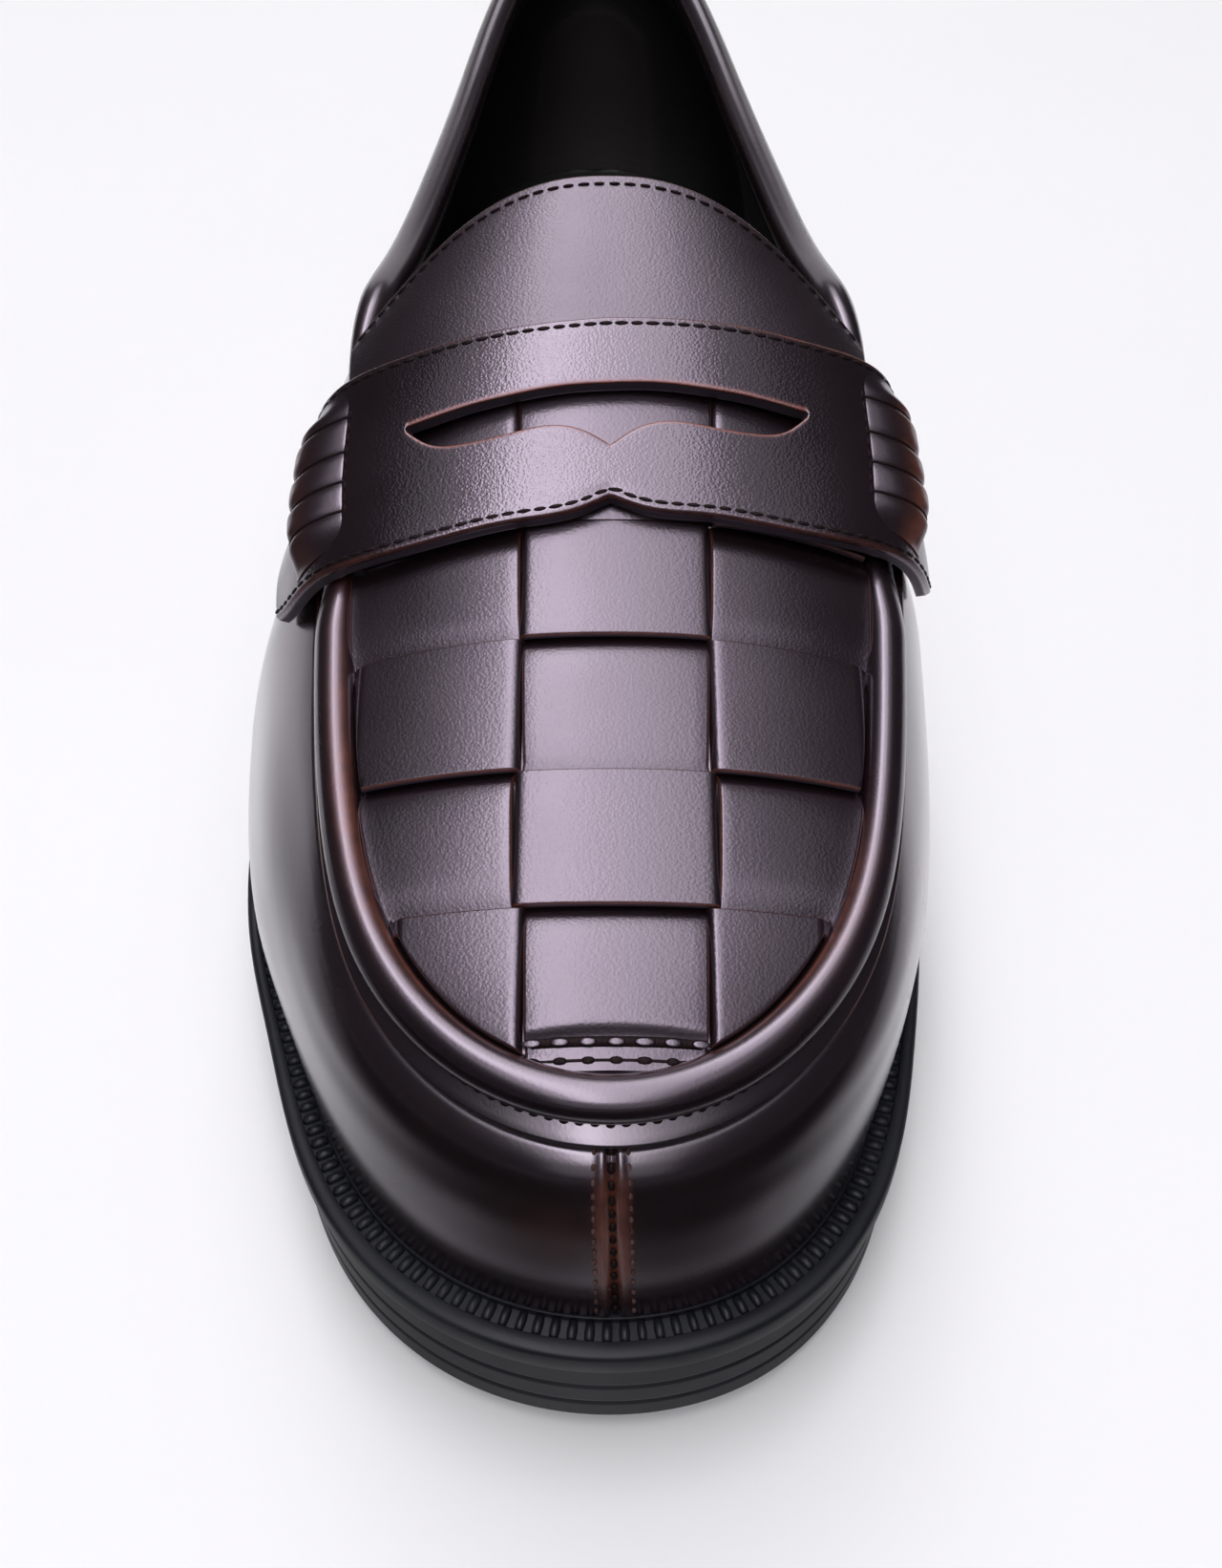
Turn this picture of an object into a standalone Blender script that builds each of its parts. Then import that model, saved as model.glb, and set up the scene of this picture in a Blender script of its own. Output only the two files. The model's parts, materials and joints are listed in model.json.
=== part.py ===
"""Braided loafer for the right foot: woven plug, saddle strap, rubber sole with a heel.

Every length in the tables is in millimetres. The toe points to -Y, the lateral side is at -X and
up is +Z. The wall of the upper, the plug, the strap and the sole are all worked out from the
section table round the shoe and the tables along it.
"""

import math

import bmesh
import bpy
import numpy as np

MM = 0.001
FIT = 0.3               # space left between two pieces that touch
CENTRE_SHIFT = 5.0      # brings the middle of the whole shoe to X = 0
UP = np.array([0.0, 0.0, 1.0])

# Sections round the shoe, from the toe along the lateral side to the heel and back.
# sole: outer edge of the welt; edge: plug edge in front, top line behind;
# belly: how far the wall stands out from a straight line.
SOLE_X, SOLE_Y, EDGE_X, EDGE_Y, EDGE_Z, BELLY = range(6)
SECTIONS = np.array([
    (-0.5, -150.5, 0.0, -132.4, 54.2, 2.4),
    (-20.5, -145.2, -11.9, -129.2, 54.6, 2.6),
    (-37.2, -129.0, -22.2, -120.0, 56.4, 3.4),
    (-47.8, -103.0, -29.4, -103.4, 60.0, 4.6),
    (-54.6, -80.0, -33.0, -80.0, 66.0, 5.4),
    (-57.4, -55.0, -34.6, -56.0, 73.5, 6.0),
    (-56.0, -28.0, -36.6, -24.0, 82.5, 6.0),
    (-51.6, 0.0, -34.8, 3.0, 80.0, 5.0),
    (-47.2, 32.0, -31.6, 36.0, 78.0, 4.0),
    (-44.4, 67.0, -28.0, 72.0, 78.8, 4.0),
    (-42.0, 101.0, -23.8, 105.0, 82.3, 5.0),
    (-33.0, 133.0, -16.2, 130.0, 86.5, 5.0),
    (-4.0, 150.5, -3.0, 141.0, 88.5, 4.0),
    (25.6, 133.0, 10.4, 130.0, 86.5, 4.6),
    (34.0, 101.0, 18.8, 105.0, 82.3, 4.2),
    (33.4, 67.0, 24.2, 72.0, 78.8, 2.6),
    (33.4, 32.0, 28.8, 36.0, 78.0, 2.2),
    (38.0, 0.0, 32.6, 3.0, 80.0, 3.0),
    (44.4, -28.0, 35.4, -24.0, 82.5, 4.0),
    (47.4, -56.0, 34.4, -56.0, 73.5, 4.4),
    (46.4, -80.0, 32.8, -80.0, 66.0, 4.4),
    (42.6, -103.0, 29.4, -103.4, 60.0, 4.0),
    (34.4, -129.0, 22.0, -120.0, 56.4, 3.2),
    (19.2, -145.4, 11.8, -129.2, 54.6, 2.6),
])
TOE_ROW, HEEL_ROW = 0, 12
SIDE_STEPS = 3001       # how finely a side of the shoe is read
ROW_SPACE = 2.0         # least distance between two rows of a mesh

# Along the shoe: y, top of the welt, width of the welt outside the upper
WELT_ROWS = np.array([
    (-151.0, 22.2, 5.4),
    (-120.0, 19.7, 4.8),
    (-90.0, 18.6, 3.7),
    (-50.0, 18.8, 3.2),
    (-10.0, 20.8, 3.0),
    (30.0, 24.6, 2.8),
    (70.0, 28.8, 2.8),
    (110.0, 31.4, 3.0),
    (150.0, 32.4, 3.4),
])
# Along the middle of plug and tongue: y, height of the crown
CROWN_ROWS = np.array([
    (-131.0, 55.4),
    (-110.0, 61.4),
    (-85.0, 69.6),
    (-60.0, 79.2),
    (-36.0, 90.8),
    (-13.0, 102.0),
])

# Wall at the toe: share of its height, share of the belly that it stands out there
TOE_FULLNESS = np.array([
    (0.0, 0.0),
    (0.15, 0.25),
    (0.30, 0.47),
    (0.45, 0.64),
    (0.60, 0.79),
    (0.70, 0.84),
    (0.80, 0.88),
    (0.88, 0.74),
    (0.95, 0.32),
    (1.0, -0.32),
])
TOE_FADE = (30.0, 75.0)     # distance from the toe over which the sides' fullness takes over

# Underside of the sole
TOE_SPRING, SPRING_LENGTH = 4.0, 52.0
FOREFOOT_FRONT, FOREFOOT_BACK = -98.0, -30.0
ARCH_RISE, ARCH_LENGTH = 10.0, 46.0
BREAST_FRONT, BREAST_BACK = 54.0, 58.0
SOLE_ROWS, ARCH_ROWS = 28, 5

# Wall of the upper
WALL = 2.2
WALL_STEPS = (0.0, 0.16, 0.32, 0.48, 0.64, 0.80, 0.92, 1.0)
WALL_FULLNESS = 2.6
UPPER_ROWS = 36
SEAT_WIDTH, SEAT_TILT = 8.4, math.radians(50.0)     # band under the seam roll
COLLAR_BAND = 3.0                                   # the same band at the top line
SEAT_FADE = (-56.0, -30.0)
FLANGE_STEP, FLANGE_END = 0.07, 0.38
FLANGE_RAISE = 0.8
THROAT_Y = -38.0

# Woven plug
STRIP_EDGES = (-129.0, -113.4, -96.0, -78.0, -61.7, -44.5)
STRIP_HALF = 11.6
STRIP_RAISE = 1.3
STRIP_GAP = 0.25
STRIP_SHARE = 0.8       # most of the plug's width that the middle strip takes
SIDE_SHARES = (0.1, 0.5, 1.0)
LAST_TILE = 17.0        # length of the last tile, under the strap
FRONT_END_RAISE = 0.2   # the sewn front end of the middle strip
TILE_POWER, TILE_DIP, TILE_RISE = 2.5, 0.75, 0.6
PLUG_CROWN_POWER, TONGUE_CROWN_POWER = 2.2, 2.6
CROWN_HALF = 18.0       # half width from which the plug has its full height

# Seam roll, collar roll and tongue
ROLL_HEIGHT, ROLL_PRESSED = 4.0, 1.8
ROLL_END_Y, ROLL_PRESS_START = -57.0, -73.0
ROLL_ROWS, ROLL_SPREAD_Y, ROLL_POINTS = 30, 80.0, 8
COLLAR_RADIUS, COLLAR_FLAT = 2.8, 1.4
COLLAR_START_Y = -22.5
COLLAR_ROWS, COLLAR_SPREAD_Y, COLLAR_POINTS = 40, -169.0, 9
TONGUE_FRONT_Y, TONGUE_TOP_Y, TONGUE_CORNER_Y = -37.6, -11.7, -25.5
TONGUE_CORNER_POWER = 2.2
TONGUE_THICK, TONGUE_SINK, TONGUE_SINK_POWER = 1.8, -0.4, 4
TONGUE_ROWS, TONGUE_COLUMNS = 6, 13

# Saddle strap: where it lies on the upper and how far it stands off, as outward and upward parts
ON_WALL, ON_SEAT, ON_PLUG = range(3)
STRAP_PATH = (
    (ON_WALL, 0.76, 0.4, 0.0),
    (ON_WALL, 0.90, 0.9, 0.3),
    (ON_SEAT, 0.60, 2.3, 2.7),
    (ON_PLUG, 0.72, 0.8, 2.4),
    (ON_PLUG, 0.36, 0.1, 2.1),
    (ON_PLUG, 0.0, 0.0, 2.1),
)
STRAP_THICK = 2.2
STRAP_SKEW = 2.2        # how far forward the lateral end sits
STRAP_ROWS, STRAP_COLUMNS, SLOT_COLUMNS = 6, 25, 19
# Strap outline: place across it on either side, front edge and rear edge
STRAP_EDGES = np.array([
    (0.0, -60.9, -35.8),
    (0.06, -62.4, -35.9),
    (0.20, -63.5, -36.1),
    (0.35, -64.3, -36.2),
    (0.50, -64.8, -36.2),
    (0.68, -63.4, -35.2),
    (0.80, -60.8, -34.2),
    (0.90, -57.4, -33.2),
])
# Slot in the strap: place across the strap on either side, front edge and rear edge
SLOT_EDGES = np.array([
    (0.0, -53.8, -45.2),
    (0.05, -51.8, -45.2),
    (0.13, -50.6, -45.4),
    (0.22, -51.2, -45.9),
    (0.32, -51.6, -46.4),
    (0.40, -50.2, -46.9),
    (0.44, -47.9, -47.1),
])
SLOT_REACH = 6.0

# Bundle at each end of the strap, pinched where four cords cross it
BEEF_PLACE, BEEF_HALF = 0.655, 0.075
BEEF_HEIGHT, BEEF_SLOPE = 2.3, 0.7
BEEF_POINTS = 7
# Sections of the bundle: y, share of its full height
BEEF_ROWS = (
    (-61.0, 0.15),
    (-58.6, 0.60),
    (-57.2, 0.90),
    (-56.1, 0.75),
    (-55.0, 1.0),
    (-52.7, 1.0),
    (-51.6, 0.75),
    (-50.5, 1.0),
    (-48.2, 1.0),
    (-47.1, 0.75),
    (-46.0, 1.0),
    (-43.0, 1.0),
    (-41.9, 0.75),
    (-40.8, 0.80),
    (-39.2, 0.50),
    (-37.0, 0.15),
)

WELT_THICK, WELT_REACH = 3.7, 10.0
# Welt section: share of the welt width inwards, extra millimetres inwards, height over its top
WELT_SECTION = (
    (0.0, 0.4, -WELT_THICK),
    (0.0, 0.0, -3.0),
    (0.0, 0.0, -0.6),
    (0.0, 0.6, 0.0),
    (0.42, 0.0, 0.0),
    (0.46, 0.0, -0.7),
    (0.90, 0.0, -0.7),
    (0.94, 0.0, 0.0),
    (0.0, WELT_REACH, 0.0),
    (0.0, WELT_REACH, -WELT_THICK),
)
# Sole side: inset from the welt's outer edge, share of the height from the underside to the welt
SOLE_SIDE = (
    (2.0, 0.0),
    (1.2, 0.07),
    (1.0, 0.28),
    (1.5, 0.32),
    (1.0, 0.36),
    (0.9, 0.60),
    (1.4, 0.64),
    (0.9, 0.68),
    (0.7, 0.97),
    (1.1, 1.0),
)
PLATFORM_INSET = WELT_REACH + FIT
INSOLE_THICK = 3.0
INSOLE_EASE = 1.3       # the sock is this much smaller at its top edge

COLOURS = {
    "outsole": ((0.018, 0.020, 0.026), 0.55),
    "welt": ((0.016, 0.018, 0.024), 0.5),
    "insole": ((0.012, 0.009, 0.010), 0.7),
    "upper": ((0.030, 0.014, 0.016), 0.3),
    "seam_roll": ((0.034, 0.016, 0.016), 0.3),
    "tongue": ((0.032, 0.018, 0.022), 0.35),
    "strap": ((0.030, 0.015, 0.018), 0.32),
    "beef_roll_lateral": ((0.036, 0.016, 0.015), 0.28),
    "beef_roll_medial": ((0.036, 0.016, 0.015), 0.28),
    "collar_roll": ((0.030, 0.016, 0.018), 0.32),
}


def spline_bend(knots, rows, closed):
    """Second derivatives of the cubic spline through the rows."""
    count = len(knots)
    step = np.diff(knots)
    slope = np.diff(rows, axis=0) / step[:, None]
    matrix = np.zeros((count, count))
    right = np.zeros_like(rows)
    for i in range(1, count - 1):
        matrix[i, i - 1:i + 2] = step[i - 1], 2 * (step[i - 1] + step[i]), step[i]
        right[i] = 6 * (slope[i] - slope[i - 1])
    matrix[0, 0] = matrix[-1, -1] = 1.0
    if closed:
        matrix[0, -1] = -1.0
        matrix[-1, :2] = 2 * step[0], step[0]
        matrix[-1, -2:] = step[-1], 2 * step[-1]
        right[-1] = 6 * (slope[0] - slope[-1])
    return np.linalg.solve(matrix, right)


def spline(knots, rows, closed=False):
    """A function that gives the smooth curve through the rows at any knot value."""
    bend = spline_bend(knots, rows, closed)

    def at(value):
        value = np.asarray(value, float)
        if closed:
            value = np.mod(value, knots[-1])
        i = np.clip(np.searchsorted(knots, value, side="right") - 1, 0, len(knots) - 2)
        step = (knots[i + 1] - knots[i])[..., None]
        after = (value - knots[i])[..., None] / step
        before = 1.0 - after
        curve = (before**3 - before) * bend[i] + (after**3 - after) * bend[i + 1]
        return before * rows[i] + after * rows[i + 1] + curve * step**2 / 6

    return at


def smooth_step(value, start, end):
    """0 before the start, 1 after the end, soft between."""
    x = np.clip((value - start) / (end - start), 0.0, 1.0)
    return x * x * (3 - 2 * x)


def unit(vectors):
    """The vectors at length one."""
    return vectors / np.linalg.norm(vectors, axis=-1, keepdims=True)


def closed_knots(rows):
    """Knots round the section table, spaced by the mean of the sole's and the edge's steps."""
    middle = (rows[:, [SOLE_X, SOLE_Y]] + rows[:, [EDGE_X, EDGE_Y]]) / 2
    steps = np.linalg.norm(np.roll(middle, -1, axis=0) - middle, axis=1)
    return np.concatenate([[0.0], np.cumsum(steps)])


KNOTS = closed_knots(SECTIONS)
round_shoe = spline(KNOTS, np.vstack([SECTIONS, SECTIONS[:1]]), closed=True)
welt_along = spline(WELT_ROWS[:, 0], WELT_ROWS[:, 1:])
crown_along = spline(CROWN_ROWS[:, 0], CROWN_ROWS[:, 1:])
toe_fullness = spline(TOE_FULLNESS[:, 0], TOE_FULLNESS[:, 1:])


def welt_top(y):
    """Height of the top of the welt."""
    return welt_along(y)[..., 0]


def crown(y):
    """Height of the plug and the tongue along their middle."""
    return crown_along(y)[..., 0]


def underside(y):
    """Height of the sole's underside: toe spring, flat forefoot, arch, heel."""
    y = np.asarray(y, float)
    spring = TOE_SPRING * np.clip((FOREFOOT_FRONT - y) / SPRING_LENGTH, 0, None) ** 2
    arch = ARCH_RISE * smooth_step(y, FOREFOOT_BACK, FOREFOOT_BACK + ARCH_LENGTH)
    breast = np.clip((BREAST_BACK - y) / (BREAST_BACK - BREAST_FRONT), 0.0, 1.0)
    return spring + arch * breast


def side_places(column, rows_y):
    """Places round the shoe where a column passes each y: lateral ones, then medial ones."""
    lateral = np.linspace(0.0, KNOTS[HEEL_ROW], SIDE_STEPS)
    medial = np.linspace(KNOTS[-1], KNOTS[HEEL_ROW], SIDE_STEPS)
    places = []
    for half in (lateral, medial):
        y = np.maximum.accumulate(round_shoe(half)[:, column])
        places.append(np.interp(rows_y, y, half))
    return places


def loop_places(column, rows_y):
    """Places of a closed loop: toe, lateral side, heel, medial side back to the toe."""
    lateral, medial = side_places(column, rows_y)
    return np.concatenate([[0.0], lateral, [KNOTS[HEEL_ROW]], medial[::-1]])


def rows_between(first, last, count, extra=()):
    """Rows along Y, closer together at both rounded ends, with extra rows among them."""
    angle = np.linspace(0.0, math.pi, count + 2)[1:-1]
    rows = (first + last) / 2 - (last - first) / 2 * np.cos(angle)
    far = [y for y in rows if all(abs(y - other) > ROW_SPACE for other in extra)]
    return np.array(sorted(far + list(extra)))


def plan_normal(places, column):
    """Outward direction in plan of the sole's outline or of the edge."""
    reach = 0.5
    ahead, behind = round_shoe(places + reach), round_shoe(places - reach)
    along = unit(ahead[:, column:column + 2] - behind[:, column:column + 2])
    return np.stack([-along[:, 1], along[:, 0], np.zeros(len(along))], axis=1)


def sole_ring(places, inset, height):
    """Points of the sole's outline moved inwards, at given heights."""
    row = round_shoe(places)
    points = np.column_stack([row[:, SOLE_X], row[:, SOLE_Y], height])
    return points - plan_normal(places, SOLE_X) * np.reshape(inset, (-1, 1))


def edge_points(places):
    """Points of the plug's edge and the top line."""
    return round_shoe(places)[:, EDGE_X:EDGE_Z + 1]


def seat_axes(places):
    """Direction down the seat band, its normal and its width at each place."""
    fade = smooth_step(round_shoe(places)[:, EDGE_Y], *SEAT_FADE)[:, None]
    tilt = SEAT_TILT + (math.pi / 2 - SEAT_TILT) * fade
    outward = plan_normal(places, EDGE_X)
    down = outward * np.cos(tilt) - UP * np.sin(tilt)
    normal = outward * np.sin(tilt) + UP * np.cos(tilt)
    return down, normal, SEAT_WIDTH + (COLLAR_BAND - SEAT_WIDTH) * fade


def wall_points(places, share):
    """Points of the upper's wall at a share of the way from the feather to the seat band."""
    row = round_shoe(places)
    width = welt_along(row[:, SOLE_Y])[:, 1]
    feather = sole_ring(places, width, welt_top(row[:, SOLE_Y]) + FIT)
    down, _, band = seat_axes(places)
    top = edge_points(places) + down * band
    outward = unit(plan_normal(places, SOLE_X) + plan_normal(places, EDGE_X))
    side, toe = 1 - abs(2 * share - 1) ** WALL_FULLNESS, toe_fullness(share)[0]
    from_toe = np.minimum(places % KNOTS[-1], -places % KNOTS[-1])
    fullness = side + (toe - side) * (1 - smooth_step(from_toe, *TOE_FADE))
    return feather + (top - feather) * share + outward * (row[:, BELLY] * fullness)[:, None]


def seat_points(places, share):
    """Points of the seat band from its outer edge (0) to the plug's edge (1)."""
    down, _, band = seat_axes(places)
    return edge_points(places) + down * band * (1 - share)


def plug_point(y, x, left, right, power=PLUG_CROWN_POWER):
    """Point of the smooth plug or tongue surface between its two edge points."""
    half = (right[0] - left[0]) / 2
    share = (x - (left[0] + right[0]) / 2) / half
    edge = left[2] + (right[2] - left[2]) * (share + 1) / 2
    rise = (crown(y) - edge) * min(1.0, half / CROWN_HALF)
    return np.array([x, y, edge + rise * (1 - abs(share) ** power)])


def strip_raise(x, y, strip, half):
    """How far the woven strips stand over the smooth plug."""
    row = int(np.searchsorted(STRIP_EDGES, y))
    if row == 0:
        return FRONT_END_RAISE
    front = STRIP_EDGES[row - 1]
    back = STRIP_EDGES[row] if row < len(STRIP_EDGES) else front + LAST_TILE
    in_middle = abs(x) < strip
    crosswise_over = (row % 2 == 0) == in_middle
    if not crosswise_over:
        bend = abs(2 * (y - front) / (back - front) - 1) ** TILE_POWER
    elif in_middle:
        bend = abs(x / strip) ** TILE_POWER
    else:
        bend = (1 - min(1.0, (abs(x) - strip) / (TILE_RISE * (half - strip)))) ** 2
    return STRIP_RAISE * (1 - TILE_DIP * bend)


def plug_columns(left_x, right_x):
    """Columns across a plug row, doubled at the strips' cut edges, and the strip's half width."""
    strip = min(STRIP_HALF, STRIP_SHARE * (right_x - left_x) / 2)
    gap = STRIP_GAP * strip / STRIP_HALF
    middle = [(-strip + gap), -strip / 2, 0.0, strip / 2, (strip - gap)]
    left = [left_x + (-strip - gap - left_x) * share for share in SIDE_SHARES]
    right = [right_x + (strip + gap - right_x) * share for share in reversed(SIDE_SHARES)]
    return left + middle + right, strip


def new_collection(name):
    """A collection linked to the scene."""
    collection = bpy.data.collections.new(name)
    bpy.context.scene.collection.children.link(collection)
    return collection


def make_material(name):
    """Plain material in the piece's colour."""
    colour, roughness = COLOURS[name]
    material = bpy.data.materials.new(name)
    material.use_nodes = True
    shader = material.node_tree.nodes["Principled BSDF"]
    shader.inputs["Base Color"].default_value = (*colour, 1.0)
    shader.inputs["Roughness"].default_value = roughness
    shader.inputs["Metallic"].default_value = 0.0
    return material


def mesh_object(name, points, faces, collection):
    """Object from points in millimetres, with outward faces."""
    shifted = (np.asarray(points) + np.array([CENTRE_SHIFT, 0.0, 0.0])) * MM
    mesh = bpy.data.meshes.new(name)
    mesh.from_pydata([tuple(point) for point in shifted], [], faces)
    work = bmesh.new()
    work.from_mesh(mesh)
    bmesh.ops.recalc_face_normals(work, faces=work.faces)
    work.to_mesh(mesh)
    work.free()
    item = bpy.data.objects.new(name, mesh)
    collection.objects.link(item)
    return item


def piece(name, points, faces, collection):
    """A sub-part with its own material."""
    item = mesh_object(name, points, faces, collection)
    item.data.materials.append(make_material(name))
    return item


def surface_normals(points, faces):
    """Normals at the points of an open surface, turned to the faces' side."""
    normals = np.zeros_like(points)
    for face in faces:
        corner = points[list(face)]
        across = np.cross(corner[2] - corner[0], corner[-1] - corner[1])
        normals[list(face)] += across
    return unit(normals)


def rim_edges(faces):
    """Edges of an open surface that only one face uses, in that face's order."""
    edges = {}
    for face in faces:
        for start, end in zip(face, face[1:] + face[:1]):
            edges[(start, end)] = (end, start) in edges
            if (end, start) in edges:
                edges[(end, start)] = True
    return [edge for edge, shared in edges.items() if not shared]


def shell(outer, inner, faces):
    """Closed faces of a wall between an outer and an inner copy of one surface."""
    count = len(outer)
    closed = [tuple(face) for face in faces]
    closed += [tuple(count + i for i in reversed(face)) for face in faces]
    closed += [(end, start, start + count, end + count) for start, end in rim_edges(faces)]
    return np.vstack([outer, inner]), closed


def grid_faces(rows, columns, closed_columns=False):
    """Quads of a grid of points stored row by row."""
    faces = []
    last = columns if closed_columns else columns - 1
    for i in range(rows - 1):
        for j in range(last):
            k = (j + 1) % columns
            faces.append((i * columns + j, (i + 1) * columns + j, (i + 1) * columns + k, i * columns + k))
    return faces


def swept(sections):
    """Closed solid through closed sections with flat ends."""
    rows, columns = len(sections), len(sections[0])
    faces = grid_faces(rows, columns, closed_columns=True)
    faces.append(tuple(reversed(range(columns))))
    faces.append(tuple((rows - 1) * columns + j for j in range(columns)))
    return np.vstack(sections), faces


def cap_faces(ring, first):
    """Faces across a closed loop of toe, lateral rows, heel and medial rows."""
    rows = (ring - 2) // 2
    lateral = [first + 1 + i for i in range(rows)]
    medial = [first + ring - 1 - i for i in range(rows)]
    heel = first + rows + 1
    faces = [(first, lateral[0], medial[0])]
    for i in range(rows - 1):
        faces.append((lateral[i], lateral[i + 1], medial[i + 1], medial[i]))
    faces.append((lateral[-1], heel, medial[-1]))
    return faces


def stacked(rings):
    """Closed solid through rings from the underside to the top."""
    ring = len(rings[0])
    faces = grid_faces(len(rings), ring, closed_columns=True)
    faces += cap_faces(ring, 0)
    faces += [tuple(reversed(face)) for face in cap_faces(ring, (len(rings) - 1) * ring)]
    return np.vstack(rings), faces


def sole_rows():
    """Rows of the sole along Y."""
    arch = np.linspace(FOREFOOT_BACK, FOREFOOT_BACK + ARCH_LENGTH, ARCH_ROWS)
    extra = (FOREFOOT_FRONT, *arch, BREAST_FRONT, BREAST_BACK)
    toe, heel = SECTIONS[TOE_ROW, SOLE_Y], SECTIONS[HEEL_ROW, SOLE_Y]
    return rows_between(toe, heel, SOLE_ROWS, extra)


def loop_y(rows_y, column):
    """The y of every place of a loop, the toe's and the heel's included."""
    ends = SECTIONS[TOE_ROW, column], SECTIONS[HEEL_ROW, column]
    return np.concatenate([[ends[0]], rows_y, [ends[1]], rows_y[::-1]])


def build_outsole(collection):
    """Rubber unit: banded side, toe spring, arch, heel and a platform inside the welt."""
    rows = sole_rows()
    places, y = loop_places(SOLE_Y, rows), loop_y(rows, SOLE_Y)
    low, high = underside(y), welt_top(y) - WELT_THICK - FIT
    rings = [sole_ring(places, inset, low + (high - low) * share) for inset, share in SOLE_SIDE]
    rings.append(sole_ring(places, PLATFORM_INSET, high))
    rings.append(sole_ring(places, PLATFORM_INSET, welt_top(y)))
    return piece("outsole", *stacked(rings), collection)


def build_welt(collection):
    """Strip round the sole's top with a rim and a shallow trough."""
    rows = sole_rows()
    places, y = loop_places(SOLE_Y, rows), loop_y(rows, SOLE_Y)
    width = welt_along(y)[:, 1]
    rings = [sole_ring(places, width * share + more, welt_top(y) + rise)
             for share, more, rise in WELT_SECTION]
    points = np.vstack(rings)
    ring = len(places)
    faces = grid_faces(len(rings), ring, closed_columns=True)
    last = (len(rings) - 1) * ring
    faces += [(last + j, last + (j + 1) % ring, (j + 1) % ring, j) for j in range(ring)]
    return piece("welt", points, faces, collection)


def build_insole(collection):
    """Flat sock inside the upper, following the foot's line."""
    rows = sole_rows()
    places, y = loop_places(SOLE_Y, rows), loop_y(rows, SOLE_Y)
    inset = welt_along(y)[:, 1] + WALL + FIT
    base = welt_top(y) + FIT
    rings = [sole_ring(places, inset, base), sole_ring(places, inset + INSOLE_EASE, base + INSOLE_THICK)]
    return piece("insole", *stacked(rings), collection)


def upper_rows():
    """Rows of the upper along Y, with a row on each side of every strip edge."""
    extra = [edge + side * STRIP_GAP for edge in STRIP_EDGES for side in (-1, 1)]
    toe, heel = SECTIONS[TOE_ROW, EDGE_Y], SECTIONS[HEEL_ROW, EDGE_Y]
    return rows_between(toe, heel, UPPER_ROWS, extra + [THROAT_Y])


def build_upper(collection):
    """Toe, vamp and quarters as one wall, with the woven plug raised in strips."""
    rows = upper_rows()
    places = loop_places(EDGE_Y, rows)
    ring = len(places)
    front = 1 - smooth_step(round_shoe(places)[:, EDGE_Y], *SEAT_FADE)
    rings = [wall_points(places, share) for share in WALL_STEPS]
    raised = [np.zeros(ring) for _ in WALL_STEPS]
    for share, lift in ((FLANGE_STEP, FLANGE_RAISE), (FLANGE_END, 0.0), (1.0, 0.0)):
        rings.append(seat_points(places, share))
        raised.append(front * lift)
    faces = grid_faces(len(rings), ring, closed_columns=True)
    points = [tuple(point) for point in np.vstack(rings)]
    lifts = list(np.concatenate(raised))

    edge = (len(rings) - 1) * ring
    previous = [edge]
    plug_rows = int(np.sum(rows <= THROAT_Y))
    for i in range(plug_rows):
        left, right = edge + 1 + i, edge + ring - 1 - i
        columns, strip = plug_columns(points[left][0], points[right][0])
        half = (points[right][0] - points[left][0]) / 2
        first = len(points)
        for x in columns:
            points.append(tuple(plug_point(rows[i], x, points[left], points[right])))
            lifts.append(strip_raise(x, rows[i], strip, half))
        current = [left] + list(range(first, first + len(columns))) + [right]
        if len(previous) == 1:
            faces += [(previous[0], b, a) for a, b in zip(current, current[1:])]
        else:
            faces += [(a, b, d, c) for a, b, c, d in
                      zip(previous, previous[1:], current, current[1:])]
        previous = current

    points, lifts = np.array(points), np.array(lifts)[:, None]
    normals = surface_normals(points, faces)
    inner = points - normals * WALL
    inner[:ring, 2] = points[:ring, 2]
    return piece("upper", *shell(points + normals * lifts, inner, faces), collection)


def build_seam_roll(collection):
    """Rolled seam that lies on the seat band between flange and plug."""
    rows = rows_between(SECTIONS[TOE_ROW, EDGE_Y], ROLL_SPREAD_Y, ROLL_ROWS)
    rows = np.append(rows[rows < ROLL_END_Y - ROW_SPACE], ROLL_END_Y)
    lateral, medial = side_places(EDGE_Y, rows)
    places = np.concatenate([lateral[::-1], [0.0], medial])
    y = round_shoe(places)[:, EDGE_Y]
    height = ROLL_HEIGHT + (ROLL_PRESSED - ROLL_HEIGHT) * smooth_step(y, ROLL_PRESS_START, ROLL_END_Y)
    _, normal, _ = seat_axes(places)
    outer, inner = seat_points(places, FLANGE_END), seat_points(places, 1.0)
    sections = []
    for i in range(len(places)):
        middle, half = (outer[i] + inner[i]) / 2, (inner[i] - outer[i]) / 2
        section = [middle + half * math.cos(a) + normal[i] * (FIT + height[i] * math.sin(a))
                   for a in np.linspace(0.0, math.pi, ROLL_POINTS)]
        sections.append(np.array(section))
    return piece("seam_roll", *swept(sections), collection)


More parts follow.
